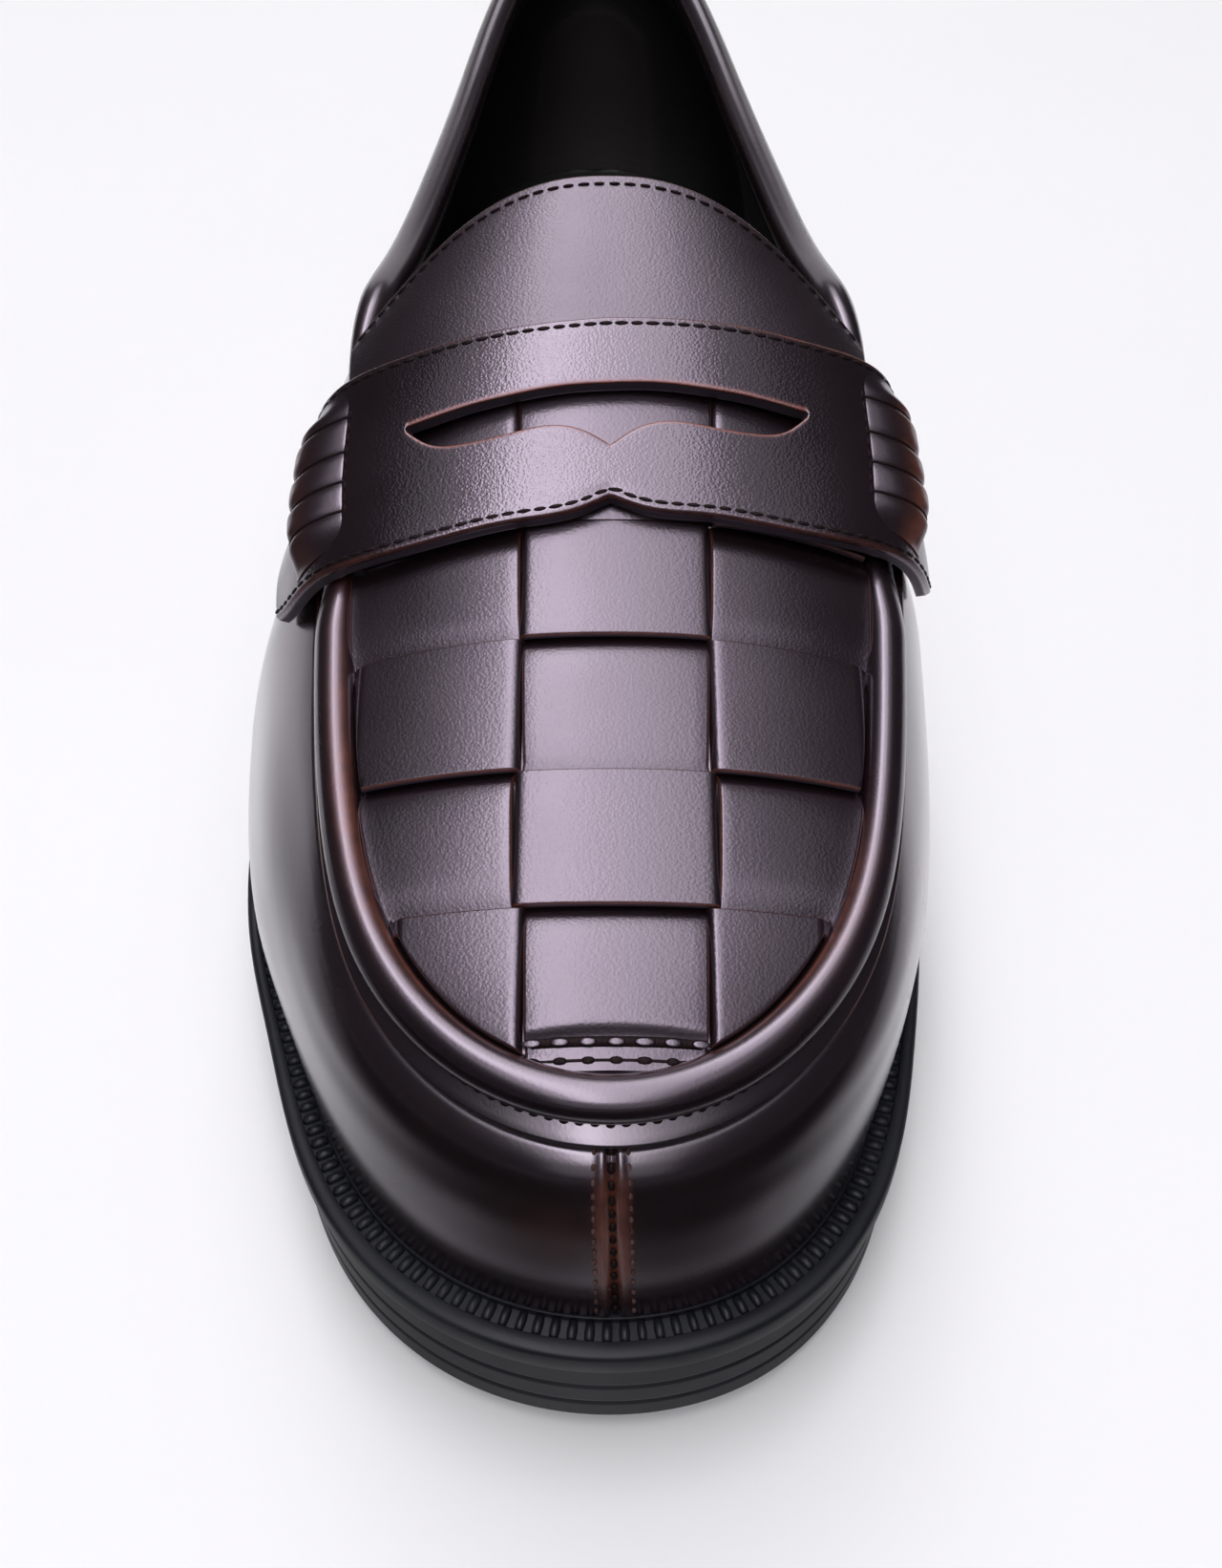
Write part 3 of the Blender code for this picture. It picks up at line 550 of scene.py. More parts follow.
class StrapBed:
    """The surface that the strap lies on, worked out once as a fine grid."""

    reach = -74.0, -26.0
    row_count = 97
    column_count = 321
    skew = 2.2

    def __init__(self, last: Last) -> None:
        """Works out the grid.

        Args:
            last: The shape that the strap lies on.
        """
        self.rows = np.linspace(*self.reach, self.row_count)
        self.across = np.linspace(-1.0, 1.0, self.column_count)
        self.points = np.array([self.curve(last, y)(self.across) for y in self.rows])
        self.normals = unit(np.cross(np.gradient(self.points, axis=1), np.gradient(self.points, axis=0)))

    @staticmethod
    def curve(last: Last, y: float) -> Spline:
        """Works out the strap's underside at one row.

        Args:
            last: The shape that the strap lies on.
            y: The row.

        Returns:
            The curve from the lateral (-1) to the medial end (1).
        """
        rows = np.array([y])
        left, right = last.edge_at(Side.LATERAL, rows)[0], last.edge_at(Side.MEDIAL, rows)[0]
        points = []
        for side in Side:
            place = last.places(side, EDGE_Y, rows)
            outward = last.plan_normal(place, EDGE_X)[0]
            half = []
            for bed, share, out, rise in STRAP_PATH:
                if bed is Bed.WALL:
                    base = last.wall_points(place, share)[0]
                elif bed is Bed.SEAT:
                    base = last.seat_points(place, share)[0]
                else:
                    x = (left[0] + right[0]) / 2 + side.value * share * (right[0] - left[0]) / 2
                    base = last.vamp_points(np.array([x]), rows, last.instep_power)[0]
                half.append(base + outward * out + UP * rise)
            points += half if side is Side.LATERAL else half[-2::-1]
        points = np.array(points)
        steps = np.concatenate([[0.0], np.cumsum(np.linalg.norm(np.diff(points, axis=0), axis=1))])
        middle = steps[len(STRAP_PATH) - 1]
        knots = np.where(steps < middle, steps / middle - 1, (steps - middle) / (steps[-1] - middle))
        return Spline(knots, points)

    def frame(self, across: Array, y: Array) -> tuple[Array, Array]:
        """Works out points of the strap's underside and their outward normals.

        Args:
            across: Places across the strap.
            y: Places along the shoe.

        Returns:
            The points and the normals.
        """
        across, y = np.broadcast_arrays(np.asarray(across, float), np.asarray(y, float))
        row = (y + self.skew * across - self.rows[0]) / (self.rows[1] - self.rows[0])
        column = (across - self.across[0]) / (self.across[1] - self.across[0])
        i = np.clip(row.astype(int), 0, len(self.rows) - 2)
        j = np.clip(column.astype(int), 0, len(self.across) - 2)
        p, q = (row - i)[..., None], (column - j)[..., None]
        found = []
        for table in (self.points, self.normals):
            near = table[i, j] * (1 - q) + table[i, j + 1] * q
            far = table[i + 1, j] * (1 - q) + table[i + 1, j + 1] * q
            found.append(near * (1 - p) + far * p)
        return found[0], unit(found[1])

    def points_at(self, across: Array, y: Array, lift: Array) -> Array:
        """Returns points that stand a given distance over the strap's underside."""
        points, normals = self.frame(across, y)
        return points + normals * np.asarray(lift, float)[..., None]


class Draft:
    """Points, faces and surface values of a piece before it becomes a mesh."""

    def __init__(self) -> None:
        """Starts with nothing."""
        self.points: list[Array] = []
        self.burnish: list[Array] = []
        self.raw: list[Array] = []
        self.faces: Faces = []
        self.slots: list[int] = []
        self.count = 0

    def add_points(self, points: Array, burnish: Array | float = 0.0, raw: Array | float = 0.0) -> Array:
        """Takes in points.

        Args:
            points: Points in any grid shape.
            burnish: How much warm brown shows through at each point.
            raw: How far each point belongs to a cut edge.

        Returns:
            The points' numbers in the same grid shape.
        """
        shape = points.shape[:-1]
        flat = points.reshape(-1, 3)
        self.points.append(flat)
        self.burnish.append(np.broadcast_to(burnish, shape).reshape(-1))
        self.raw.append(np.broadcast_to(raw, shape).reshape(-1))
        numbers = np.arange(self.count, self.count + len(flat)).reshape(shape)
        self.count += len(flat)
        return numbers

    def add_faces(self, faces: Faces, slot: int = 0) -> None:
        """Takes in faces for one of the piece's materials."""
        self.faces += faces
        self.slots += [slot] * len(faces)

    def tube(self, sections: Array, burnish: Array | float = 0.0, raw: Array | float = 0.0) -> None:
        """Adds a solid through closed sections, with a face across each end.

        Args:
            sections: Points in rows, one row for each section.
            burnish: Warm brown at the points.
            raw: Cut edges at the points.
        """
        numbers = self.add_points(sections, burnish, raw)
        ends = [tuple(numbers[0][::-1].tolist()), tuple(numbers[-1].tolist())]
        self.add_faces(quads(numbers, wrap=True) + ends)

    def shell(self, outer: Array, inner: Array, faces: Faces, burnish: Array | float = 0.0,
              inner_slot: int = 0, inner_burnish: Array | float = 0.0, raw: Array | float = 0.0) -> None:
        """Adds a closed wall between two copies of a surface, with a dark band round its cut edge.

        Args:
            outer: Points of the outer copy.
            inner: Points of the inner copy.
            faces: Faces of either copy, by point number from zero.
            burnish: Warm brown at the outer points.
            inner_slot: Material of the inner copy.
            inner_burnish: Accent at the inner points.
            raw: Cut edges at the outer points.
        """
        outer, inner = outer.reshape(-1, 3), inner.reshape(-1, 3)
        top = self.add_points(outer, np.broadcast_to(burnish, len(outer)), np.broadcast_to(raw, len(outer)))
        low = self.add_points(inner, np.broadcast_to(inner_burnish, len(inner)))
        self.add_faces([tuple(int(top[i]) for i in face) for face in faces])
        self.add_faces([tuple(int(low[i]) for i in reversed(face)) for face in faces], inner_slot)
        rim = open_edges(faces)
        around = sorted({i for edge in rim for i in edge})
        band = (0.22, 0.8)
        rings = [top]
        for share in band:
            ring = self.add_points(outer[around] + (inner - outer)[around] * share, raw=1.0)
            rings.append(dict(zip(around, ring.tolist())))
        rings.append(low)
        for upper, lower in zip(rings, rings[1:]):
            self.add_faces([(int(upper[b]), int(upper[a]), int(lower[a]), int(lower[b])) for a, b in rim])

    def make(self, name: str, materials: Sequence[Material], sharp: float = 50.0) -> Item:
        """Makes the object, without points that no face uses.

        Args:
            name: The piece's name.
            materials: One material for each slot.
            sharp: Angle in degrees past which an edge is shaded sharp.

        Returns:
            The object, linked to the scene.
        """
        points = (np.vstack(self.points) + np.array([CENTRE_SHIFT, 0.0, 0.0])) * MM
        mesh = bpy.data.meshes.new(name)
        mesh.from_pydata(points.tolist(), [], self.faces)
        mesh.polygons.foreach_set("material_index", self.slots)
        for label, parts in (("burnish", self.burnish), ("raw", self.raw)):
            values = mesh.attributes.new(label, "FLOAT", "POINT")
            values.data.foreach_set("value", np.concatenate(parts).astype(np.float32))
        work = bmesh.new()
        work.from_mesh(mesh)
        loose = [point for point in work.verts if not point.link_faces]
        bmesh.ops.delete(work, geom=loose, context="VERTS")
        bmesh.ops.recalc_face_normals(work, faces=work.faces)
        work.to_mesh(mesh)
        work.free()
        for material in materials:
            mesh.materials.append(material)
        mesh.shade_smooth()
        mesh.set_sharp_from_angle(angle=math.radians(sharp))
        return link(name, mesh)


class Nodes:
    """Short way to add and join the nodes of one tree."""

    mix_colours = 6, 7
    mix_result = 2

    def __init__(self, tree: Tree) -> None:
        """Keeps the tree."""
        self.tree = tree

    def put(self, target: Socket, value: object) -> None:
        """Gives an input a value of its own, or joins a socket to it.

        Args:
            target: The input.
            value: A socket, or what the input itself can hold.
        """
        if isinstance(value, Socket):
            self.tree.links.new(value, target)
        else:
            target.default_value = value

    def add(self, kind: str, inputs: dict | None = None, **settings: object) -> Node:
        """Adds a node.

        Args:
            kind: The node's type.
            inputs: Values or sockets for its inputs, by name or number.
            settings: Properties of the node.

        Returns:
            The node.
        """
        node = self.tree.nodes.new(kind)
        for name, value in settings.items():
            setattr(node, name, value)
        for name, value in (inputs or {}).items():
            self.put(node.inputs[name], value)
        return node

    def math(self, operation: str, *values: object) -> Socket:
        """Returns the result of a calculation with sockets or numbers."""
        return self.add("ShaderNodeMath", dict(enumerate(values)), operation=operation).outputs[0]

    def mix(self, factor: object, first: object, second: object) -> Socket:
        """Mixes two colours.

        Args:
            factor: Share of the second colour.
            first: Colour or socket.
            second: Colour or socket.

        Returns:
            The mixed colour.
        """
        node = self.add("ShaderNodeMix", {0: factor}, data_type="RGBA")
        for place, value in zip(self.mix_colours, (first, second)):
            self.put(node.inputs[place], value if isinstance(value, Socket) else (*value, 1.0))
        return node.outputs[self.mix_result]

    def spread(self, value: object, low: float, high: float, first: float, last: float) -> Socket:
        """Returns a value stretched from one range to another, held at its ends."""
        inputs = {"Value": value, "From Min": low, "From Max": high, "To Min": first, "To Max": last}
        return self.add("ShaderNodeMapRange", inputs).outputs[0]


class Effects:
    """Shader groups that several finishes share."""

    grain_push = 0.0003
    grain_softness = 0.4
    pebble_edge = 0.75
    pore_scale = 0.7
    pore_share = 0.5
    rub_patches = 420.0
    rub_reach = 0.55, 1.25
    noise_reach = 0.3, 0.7

    def __init__(self) -> None:
        """Builds each group once."""
        self.grain = self.make_grain()
        self.burnish = self.make_burnish()
        self.tone = self.make_tone()

    @staticmethod
    def start(name: str, inputs: Sequence[str], output: str) -> tuple[Nodes, Node, Node]:
        """Starts a group.

        Args:
            name: The group's name.
            inputs: Names of its number inputs, after the vector.
            output: Name of its one output.

        Returns:
            The group's nodes, its input node and its output node.
        """
        tree = bpy.data.node_groups.new(name, "ShaderNodeTree")
        tree.interface.new_socket("Vector", in_out="INPUT", socket_type="NodeSocketVector")
        for label in inputs:
            tree.interface.new_socket(label, in_out="INPUT", socket_type="NodeSocketFloat")
        tree.interface.new_socket(output, in_out="OUTPUT", socket_type="NodeSocketFloat")
        nodes = Nodes(tree)
        return nodes, nodes.add("NodeGroupInput"), nodes.add("NodeGroupOutput")

    def make_grain(self) -> Tree:
        """Works out the pebbled grain of the hide, as a height.

        Returns:
            The group.
        """
        nodes, given, result = self.start("leather_grain", ("Cells Per Metre",), "Height")
        vector, cells = given.outputs["Vector"], given.outputs["Cells Per Metre"]
        bend = nodes.add("ShaderNodeTexNoise", {"Vector": vector, "Scale": cells, "Detail": 1.0})
        push = nodes.add("ShaderNodeVectorMath", {0: bend.outputs["Color"], "Scale": self.grain_push},
                         operation="SCALE")
        moved = nodes.add("ShaderNodeVectorMath", {0: vector, 1: push.outputs[0]}, operation="ADD")
        pebble = nodes.add("ShaderNodeTexVoronoi", {"Vector": moved.outputs[0], "Scale": cells,
                                                    "Smoothness": self.grain_softness}, feature="SMOOTH_F1")
        dome = nodes.spread(pebble.outputs["Distance"], 0.0, self.pebble_edge, 1.0, 0.0)
        fine = nodes.math("MULTIPLY", cells, self.pore_scale)
        pores = nodes.add("ShaderNodeTexNoise", {"Vector": vector, "Scale": fine, "Detail": 3.0})
        height = nodes.math("MULTIPLY_ADD", pores.outputs[0], self.pore_share, dome)
        nodes.put(result.inputs["Height"], height)
        return nodes.tree

    def make_burnish(self) -> Tree:
        """Works out the mask of brown that shows through, broken up by rubbing.

        Returns:
            The group.
        """
        nodes, given, result = self.start("rubbed_burnish", ("Amount",), "Mask")
        patches = nodes.add("ShaderNodeTexNoise", {"Vector": given.outputs["Vector"],
                                                   "Scale": self.rub_patches, "Detail": 4.0})
        worn = nodes.spread(patches.outputs[0], *self.noise_reach, *self.rub_reach)
        mask = nodes.math("MULTIPLY", given.outputs["Amount"], worn)
        nodes.put(result.inputs["Mask"], nodes.math("MINIMUM", mask, 1.0))
        return nodes.tree

    def make_tone(self) -> Tree:
        """Works out slow changes of tone between 0 and 1.

        Returns:
            The group.
        """
        nodes, given, result = self.start("slow_tone", ("Patches Per Metre",), "Tone")
        cloud = nodes.add("ShaderNodeTexNoise", {"Vector": given.outputs["Vector"],
                                                 "Scale": given.outputs["Patches Per Metre"], "Detail": 3.0})
        nodes.put(result.inputs["Tone"], nodes.spread(cloud.outputs[0], *self.noise_reach, 0.0, 1.0))
        return nodes.tree


@dataclass(frozen=True)
class Paint:
    """A material in the making: its nodes, its shader, the object coordinates and the shared groups."""

    nodes: Nodes
    shader: Node
    place: Socket
    effects: Effects

    def attribute(self, label: str) -> Socket:
        """Returns a value that the mesh carries."""
        return self.nodes.add("ShaderNodeAttribute", attribute_name=label).outputs["Fac"]

    def use(self, group: Tree, label: str, value: object) -> Socket:
        """Returns the output of a shared group, given its one value."""
        inputs = {"Vector": self.place, label: value}
        return self.nodes.add("ShaderNodeGroup", inputs, node_tree=group).outputs[0]

    def tone(self, patches: float) -> Socket:
        """Returns slow changes of tone, with so many patches per metre."""
        return self.use(self.effects.tone, "Patches Per Metre", patches)

    def follow(self, tone: Socket, middle: float, reach: Span) -> Socket:
        """Returns a value that follows the tone below and above its middle."""
        return self.nodes.spread(tone, 0.0, 1.0, middle + reach[0], middle + reach[1])

    def fill(self, values: dict[str, object]) -> None:
        """Gives inputs of the shader their values."""
        for label, value in values.items():
            self.nodes.put(self.shader.inputs[label], value)

    def bump(self, cells: float, depth: float) -> None:
        """Roughens the surface with the grain.

        Args:
            cells: Cells of the grain per metre.
            depth: Its depth in millimetres.
        """
        height = self.use(self.effects.grain, "Cells Per Metre", cells)
        node = self.nodes.add("ShaderNodeBump", {"Height": height, "Strength": 1.0, "Distance": depth * MM})
        self.fill({"Normal": node.outputs[0]})


class FinishBase:
    """What every finish has in common."""

    name: str

    def material(self, effects: Effects) -> Material:
        """Builds the finish.

        Args:
            effects: The shared groups.

        Returns:
            The material.
        """
        material = bpy.data.materials.new(self.name)
        material.use_nodes = True
        nodes = Nodes(material.node_tree)
        shader = material.node_tree.nodes["Principled BSDF"]
        place = nodes.add("ShaderNodeTexCoord").outputs["Object"]
        self.paint(Paint(nodes, shader, place, effects))
        return material

    def paint(self, work: Paint) -> None:
        """Sets the shader up."""
        raise NotImplementedError


@dataclass(frozen=True)
class Leather(FinishBase):
    """Brushed-off leather: nearly black, with warm brown where it is rubbed or cut."""

    name: str
    colour: Colour = (0.0075, 0.0028, 0.0036)
    deep: Colour = (0.0040, 0.0018, 0.0024)
    warm: Colour = (0.17, 0.045, 0.018)
    cut: Colour = (0.007, 0.0045, 0.0045)
    gloss: Colour = (0.95, 0.80, 1.0)
    patches: float = 38.0
    roughness: float = 0.34
    uneven: Span = (-0.03, 0.04)
    rubbed_rough: float = 0.2
    cut_rough: float = 0.4
    roughest: float = 0.9
    coat: float = 0.12
    coat_roughness: float = 0.15
    bending: float = 1.6
    grain_size: float = 0.40
    grain_depth: float = 0.025

    def paint(self, work: Paint) -> None:
        """Sets the shader up.

        Args:
            work: The material in the making.
        """
        nodes, tone, raw = work.nodes, work.tone(self.patches), work.attribute("raw")
        mask = work.use(work.effects.burnish, "Amount", work.attribute("burnish"))
        rubbed = nodes.mix(mask, nodes.mix(tone, self.deep, self.colour), self.warm)
        rough = work.follow(tone, self.roughness, self.uneven)
        rough = nodes.math("MULTIPLY_ADD", mask, self.rubbed_rough, rough)
        rough = nodes.math("MULTIPLY_ADD", raw, self.cut_rough, rough)
        work.fill({
            "Base Color": nodes.mix(raw, rubbed, self.cut),
            "Roughness": nodes.math("MINIMUM", rough, self.roughest),
            "Coat Weight": nodes.math("MULTIPLY", nodes.math("SUBTRACT", 1.0, raw), self.coat),
            "Coat Roughness": self.coat_roughness,
            "IOR": self.bending,
            "Specular IOR Level": 1.0,
            "Specular Tint": (*self.gloss, 1.0),
        })
        work.bump(1.0 / (self.grain_size * MM), self.grain_depth)


@dataclass(frozen=True)
class Rubber(FinishBase):
    """Blue-black moulded rubber with a fine matt skin."""

    name: str
    colour: Colour = (0.0065, 0.0072, 0.0105)
    dusty: Colour = (0.011, 0.012, 0.016)
    patches: float = 60.0
    roughness: float = 0.5
    uneven: Span = (-0.05, 0.08)
    shine: float = 0.3
    skin_cells: float = 4200.0
    skin_depth: float = 0.008

    def paint(self, work: Paint) -> None:
        """Sets the shader up.

        Args:
            work: The material in the making.
        """
        tone = work.tone(self.patches)
        work.fill({
            "Base Color": work.nodes.mix(tone, self.colour, self.dusty),
            "Roughness": work.follow(tone, self.roughness, self.uneven),
            "Specular IOR Level": self.shine,
        })
        work.bump(self.skin_cells, self.skin_depth)


@dataclass(frozen=True)
class Lining(FinishBase):
    """Dark matt lining leather, with a patch of another tone."""

    name: str
    colour: Colour = (0.006, 0.0055, 0.006)
    patch: Colour = (0.014, 0.010, 0.010)
    patches: float = 50.0
    roughness: float = 0.7
    uneven: Span = (-0.06, 0.1)
    nap_cells: float = 1500.0
    nap_depth: float = 0.03

    def paint(self, work: Paint) -> None:
        """Sets the shader up.

        Args:
            work: The material in the making.
        """
        work.fill({
            "Base Color": work.nodes.mix(work.attribute("burnish"), self.colour, self.patch),
            "Roughness": work.follow(work.tone(self.patches), self.roughness, self.uneven),
        })
        work.bump(self.nap_cells, self.nap_depth)


@dataclass(frozen=True)
class Thread(FinishBase):
    """Waxed sewing thread."""

    name: str
    colour: Colour = (0.0050, 0.0030, 0.0034)
    light: Colour = (0.0110, 0.0060, 0.0065)
    patches: float = 900.0
    roughness: float = 0.5
    shine: float = 0.12
    tint: Colour = (1.0, 0.78, 0.86)
    twist_cells: float = 5000.0
    twist_depth: float = 0.03

    def paint(self, work: Paint) -> None:
        """Sets the shader up.

        Args:
            work: The material in the making.
        """
        work.fill({
            "Base Color": work.nodes.mix(work.tone(self.patches), self.colour, self.light),
            "Roughness": self.roughness,
            "Specular IOR Level": self.shine,
            "Specular Tint": (*self.tint, 1.0),
        })
        work.bump(self.twist_cells, self.twist_depth)


@dataclass(frozen=True)
class PaleFloor(FinishBase):
    """Pale paper, blackened where a card on it fades to black."""

    name: str
    colour: Colour = (0.825, 0.829, 0.841)
    other: Colour = (0.815, 0.819, 0.831)
    black: Colour = (0.004, 0.004, 0.004)
    patches: float = 7.0
    roughness: float = 0.85
    shine: float = 0.1

    def paint(self, work: Paint) -> None:
        """Sets the shader up.

        Args:
            work: The material in the making.
        """
        paper = work.nodes.mix(work.tone(self.patches), self.colour, self.other)
        work.fill({
            "Base Color": work.nodes.mix(work.attribute("blackened"), paper, self.black),
            "Roughness": self.roughness,
            "Specular IOR Level": self.shine,
        })


class Finishes:
    """All materials of the shoe, made once."""

    def __init__(self, effects: Effects) -> None:
        """Makes the materials.

        Args:
            effects: The shared groups.
        """
        self.upper = Leather("upper_leather", grain_depth=0.005, roughness=0.25, coat=0.9,
                             coat_roughness=0.22).material(effects)
        self.plug = Leather("plug_leather", roughness=0.28, grain_depth=0.013).material(effects)
        self.roll = Leather("roll_leather", grain_depth=0.005, roughness=0.27, coat=0.4).material(effects)
        self.strap = Leather("strap_leather", roughness=0.22, grain_depth=0.019).material(effects)
        self.tongue = Leather("tongue_leather", roughness=0.36).material(effects)
        self.lining = Lining("lining").material(effects)
        self.sock = Lining("sock", colour=(0.008, 0.007, 0.007), roughness=0.6).material(effects)
        self.rubber = Rubber("sole_rubber").material(effects)
        self.welt = Rubber("welt_rubber", roughness=0.45).material(effects)
        self.thread = Thread("dark_thread").material(effects)
        # Brown thread of the toe rows: its paler tone is lighter than the thread itself, a painted glint
        # that stands for the light it catches
        brown = Thread("brown_thread", colour=(0.030, 0.014, 0.012), light=(0.095, 0.055, 0.050))
        self.brown_thread = brown.material(effects)
        self.floor = PaleFloor("floor").material(effects)


class Repeats:
    """Geometry Nodes trees that repeat a shape along a path."""

    cord_sides = 10
    uneven = 0.9, 1.08
    tooth_crease = 0.7

    def __init__(self) -> None:
        """Builds one tree for each kind of repeat."""
        self.trees = {kind: self.make_tree(kind) for kind in Repeat}

    @staticmethod
    def make_tree(kind: Repeat) -> Tree:
        """Builds the tree.

        Args:
            kind: What is repeated or swept along the path.

        Returns:
            The tree.
        """
        tree = bpy.data.node_groups.new(f"{kind.value}_row", "GeometryNodeTree")
        tree.is_modifier = True
        tree.interface.new_socket("Geometry", in_out="INPUT", socket_type="NodeSocketGeometry")
        for name in ("Pitch", "Length", "Width", "Height"):
            tree.interface.new_socket(name, in_out="INPUT", socket_type="NodeSocketFloat")
        tree.interface.new_socket("Seed", in_out="INPUT", socket_type="NodeSocketInt")
        tree.interface.new_socket("Material", in_out="INPUT", socket_type="NodeSocketMaterial")
        tree.interface.new_socket("Geometry", in_out="OUTPUT", socket_type="NodeSocketGeometry")
        nodes = Nodes(tree)
        given, result = nodes.add("NodeGroupInput").outputs, nodes.add("NodeGroupOutput")
        path = nodes.add("GeometryNodeMeshToCurve", {"Mesh": given["Geometry"]}).outputs[0]
        if kind is Repeat.CORD:
            around = nodes.add("GeometryNodeCurvePrimitiveCircle",
                               {"Resolution": Repeats.cord_sides, "Radius": given["Width"]})
            swept = nodes.add("GeometryNodeCurveToMesh", {"Curve": path, "Profile Curve": around.outputs[0],
                                                          "Fill Caps": True}).outputs[0]
        else:
            swept = Repeats.place_shapes(nodes, kind, path, given)
        smooth = nodes.add("GeometryNodeSetShadeSmooth", {"Geometry": swept}).outputs[0]
        real = nodes.add("GeometryNodeRealizeInstances", {"Geometry": smooth}).outputs[0]
        dressed = nodes.add("GeometryNodeSetMaterial", {"Geometry": real, "Material": given["Material"]})
        tree.links.new(dressed.outputs[0], result.inputs[0])
        return tree

    @staticmethod
    def place_shapes(nodes: Nodes, kind: Repeat, path: Socket,
                     given: bpy.types.NodeOutputs) -> Socket:
        """Sets a stitch or a tooth at each step of the path.

        Args:
            nodes: The tree's nodes.
            kind: Stitch or tooth.
            path: The curve.
            given: The tree's inputs.

        Returns:
            The placed shapes.
        """
        steps = nodes.add("GeometryNodeResampleCurve", {"Curve": path, "Length": given["Pitch"]},
                          mode="LENGTH")
        tangent = nodes.add("GeometryNodeInputTangent").outputs[0]
        facing = nodes.add("GeometryNodeInputNamedAttribute", {"Name": "facing"}, data_type="FLOAT_VECTOR")
        reach = nodes.add("GeometryNodeInputNamedAttribute", {"Name": "reach"}, data_type="FLOAT")
        along = nodes.add("FunctionNodeAlignRotationToVector", {"Vector": tangent}, axis="X")
        upright = nodes.add("FunctionNodeAlignRotationToVector",
                            {"Rotation": along.outputs[0], "Vector": facing.outputs[0]},
                            axis="Z", pivot_axis="X")
        least, most = Repeats.uneven
        uneven = nodes.add("FunctionNodeRandomValue", {2: least, 3: most, "Seed": given["Seed"]},
                           data_type="FLOAT")
        length = nodes.math("MULTIPLY", given["Length"], uneven.outputs[1])
        width = nodes.math("MULTIPLY", given["Width"], reach.outputs[0])
        scale = nodes.add("ShaderNodeCombineXYZ", {0: length, 1: width, 2: given["Height"]}).outputs[0]
        if kind is Repeat.STITCH:
            shape = nodes.add("GeometryNodeMeshIcoSphere", {"Radius": 0.5, "Subdivisions": 2}).outputs[0]
        else:
            block = nodes.add("GeometryNodeMeshCube", {"Size": (1.0, 1.0, 1.0)}).outputs[0]
            rounded = {"Mesh": block, "Level": 1, "Edge Crease": Repeats.tooth_crease}
            shape = nodes.add("GeometryNodeSubdivisionSurface", rounded).outputs[0]
        placed = nodes.add("GeometryNodeInstanceOnPoints", {"Points": steps.outputs[0], "Instance": shape,
                                                            "Rotation": upright.outputs[0], "Scale": scale})
        return placed.outputs[0]

    def make(self, name: str, kind: Repeat, paths: Sequence[Path], sizes: dict[str, float],
             material: Material, reach: Array | None = None) -> Item:
        """Runs a tree over paths and keeps the result as a plain mesh.

        Args:
            name: The piece's name.
            kind: What is repeated.
            paths: Points in millimetres and facing directions of each path.
            sizes: Values of the tree's inputs, with lengths in millimetres.
            material: Finish of the result.
            reach: Share of the width at each point of the paths, if it changes.

        Returns:
            The object, linked to the scene.
        """
        points = (np.vstack([path for path, _ in paths]) + np.array([CENTRE_SHIFT, 0.0, 0.0])) * MM
        edges, first = [], 0
        for path, _ in paths:
            edges += [(first + i, first + i + 1) for i in range(len(path) - 1)]
            first += len(path)
        mesh = bpy.data.meshes.new(name)
        mesh.from_pydata(points.tolist(), edges, [])
        facing = mesh.attributes.new("facing", "FLOAT_VECTOR", "POINT")
        facing.data.foreach_set("vector", np.vstack([way for _, way in paths]).astype(np.float32).ravel())
        width = mesh.attributes.new("reach", "FLOAT", "POINT")
        shares = np.ones(len(points)) if reach is None else reach
        width.data.foreach_set("value", shares.astype(np.float32))
        carrier = link(name + "_path", mesh)
        modifier = carrier.modifiers.new("repeat", "NODES")
        tree = self.trees[kind]
        values = {label: size if label == "Seed" else size * MM for label, size in sizes.items()}
        values["Material"] = material
        modifier.node_group = tree
        for socket in tree.interface.items_tree:
            if socket.in_out == "INPUT" and socket.name in values:
                modifier[socket.identifier] = values[socket.name]
        graph = bpy.context.evaluated_depsgraph_get()
        result = bpy.data.meshes.new_from_object(carrier.evaluated_get(graph), depsgraph=graph)
        result.name = name
        carrier.modifiers.remove(modifier)
        bpy.data.objects.remove(carrier, do_unlink=True)
        bpy.data.meshes.remove(mesh)
        for label in ("facing", "reach"):
            if label in result.attributes:
                result.attributes.remove(result.attributes[label])
        return link(name, result)


@dataclass(frozen=True)
class Glow:
    """A soft patch of rubbed brown: its strength, and its middle and half size in two directions."""

    strength: float
    first: Span
    second: Span

    def at(self, first: Array | float, second: Array | float) -> Array:
        """Returns the brown at places in the two directions."""
        return self.strength * hill(first, *self.first) * hill(second, *self.second)


@dataclass(frozen=True)
class Stitch:
    """Distance from stitch to stitch and the size of one."""

    pitch: float
    length: float
    width: float
    height: float
    seed: int = 7

    def sizes(self) -> dict[str, float]:
        """Returns the values for the tree that repeats it."""
        return {"Pitch": self.pitch, "Length": self.length, "Width": self.width, "Height": self.height,
                "Seed": self.seed}


@dataclass
class Workshop:
    """What every sub-assembly is made with."""

    last: Last
    bed: StrapBed
    finishes: Finishes
    repeats: Repeats


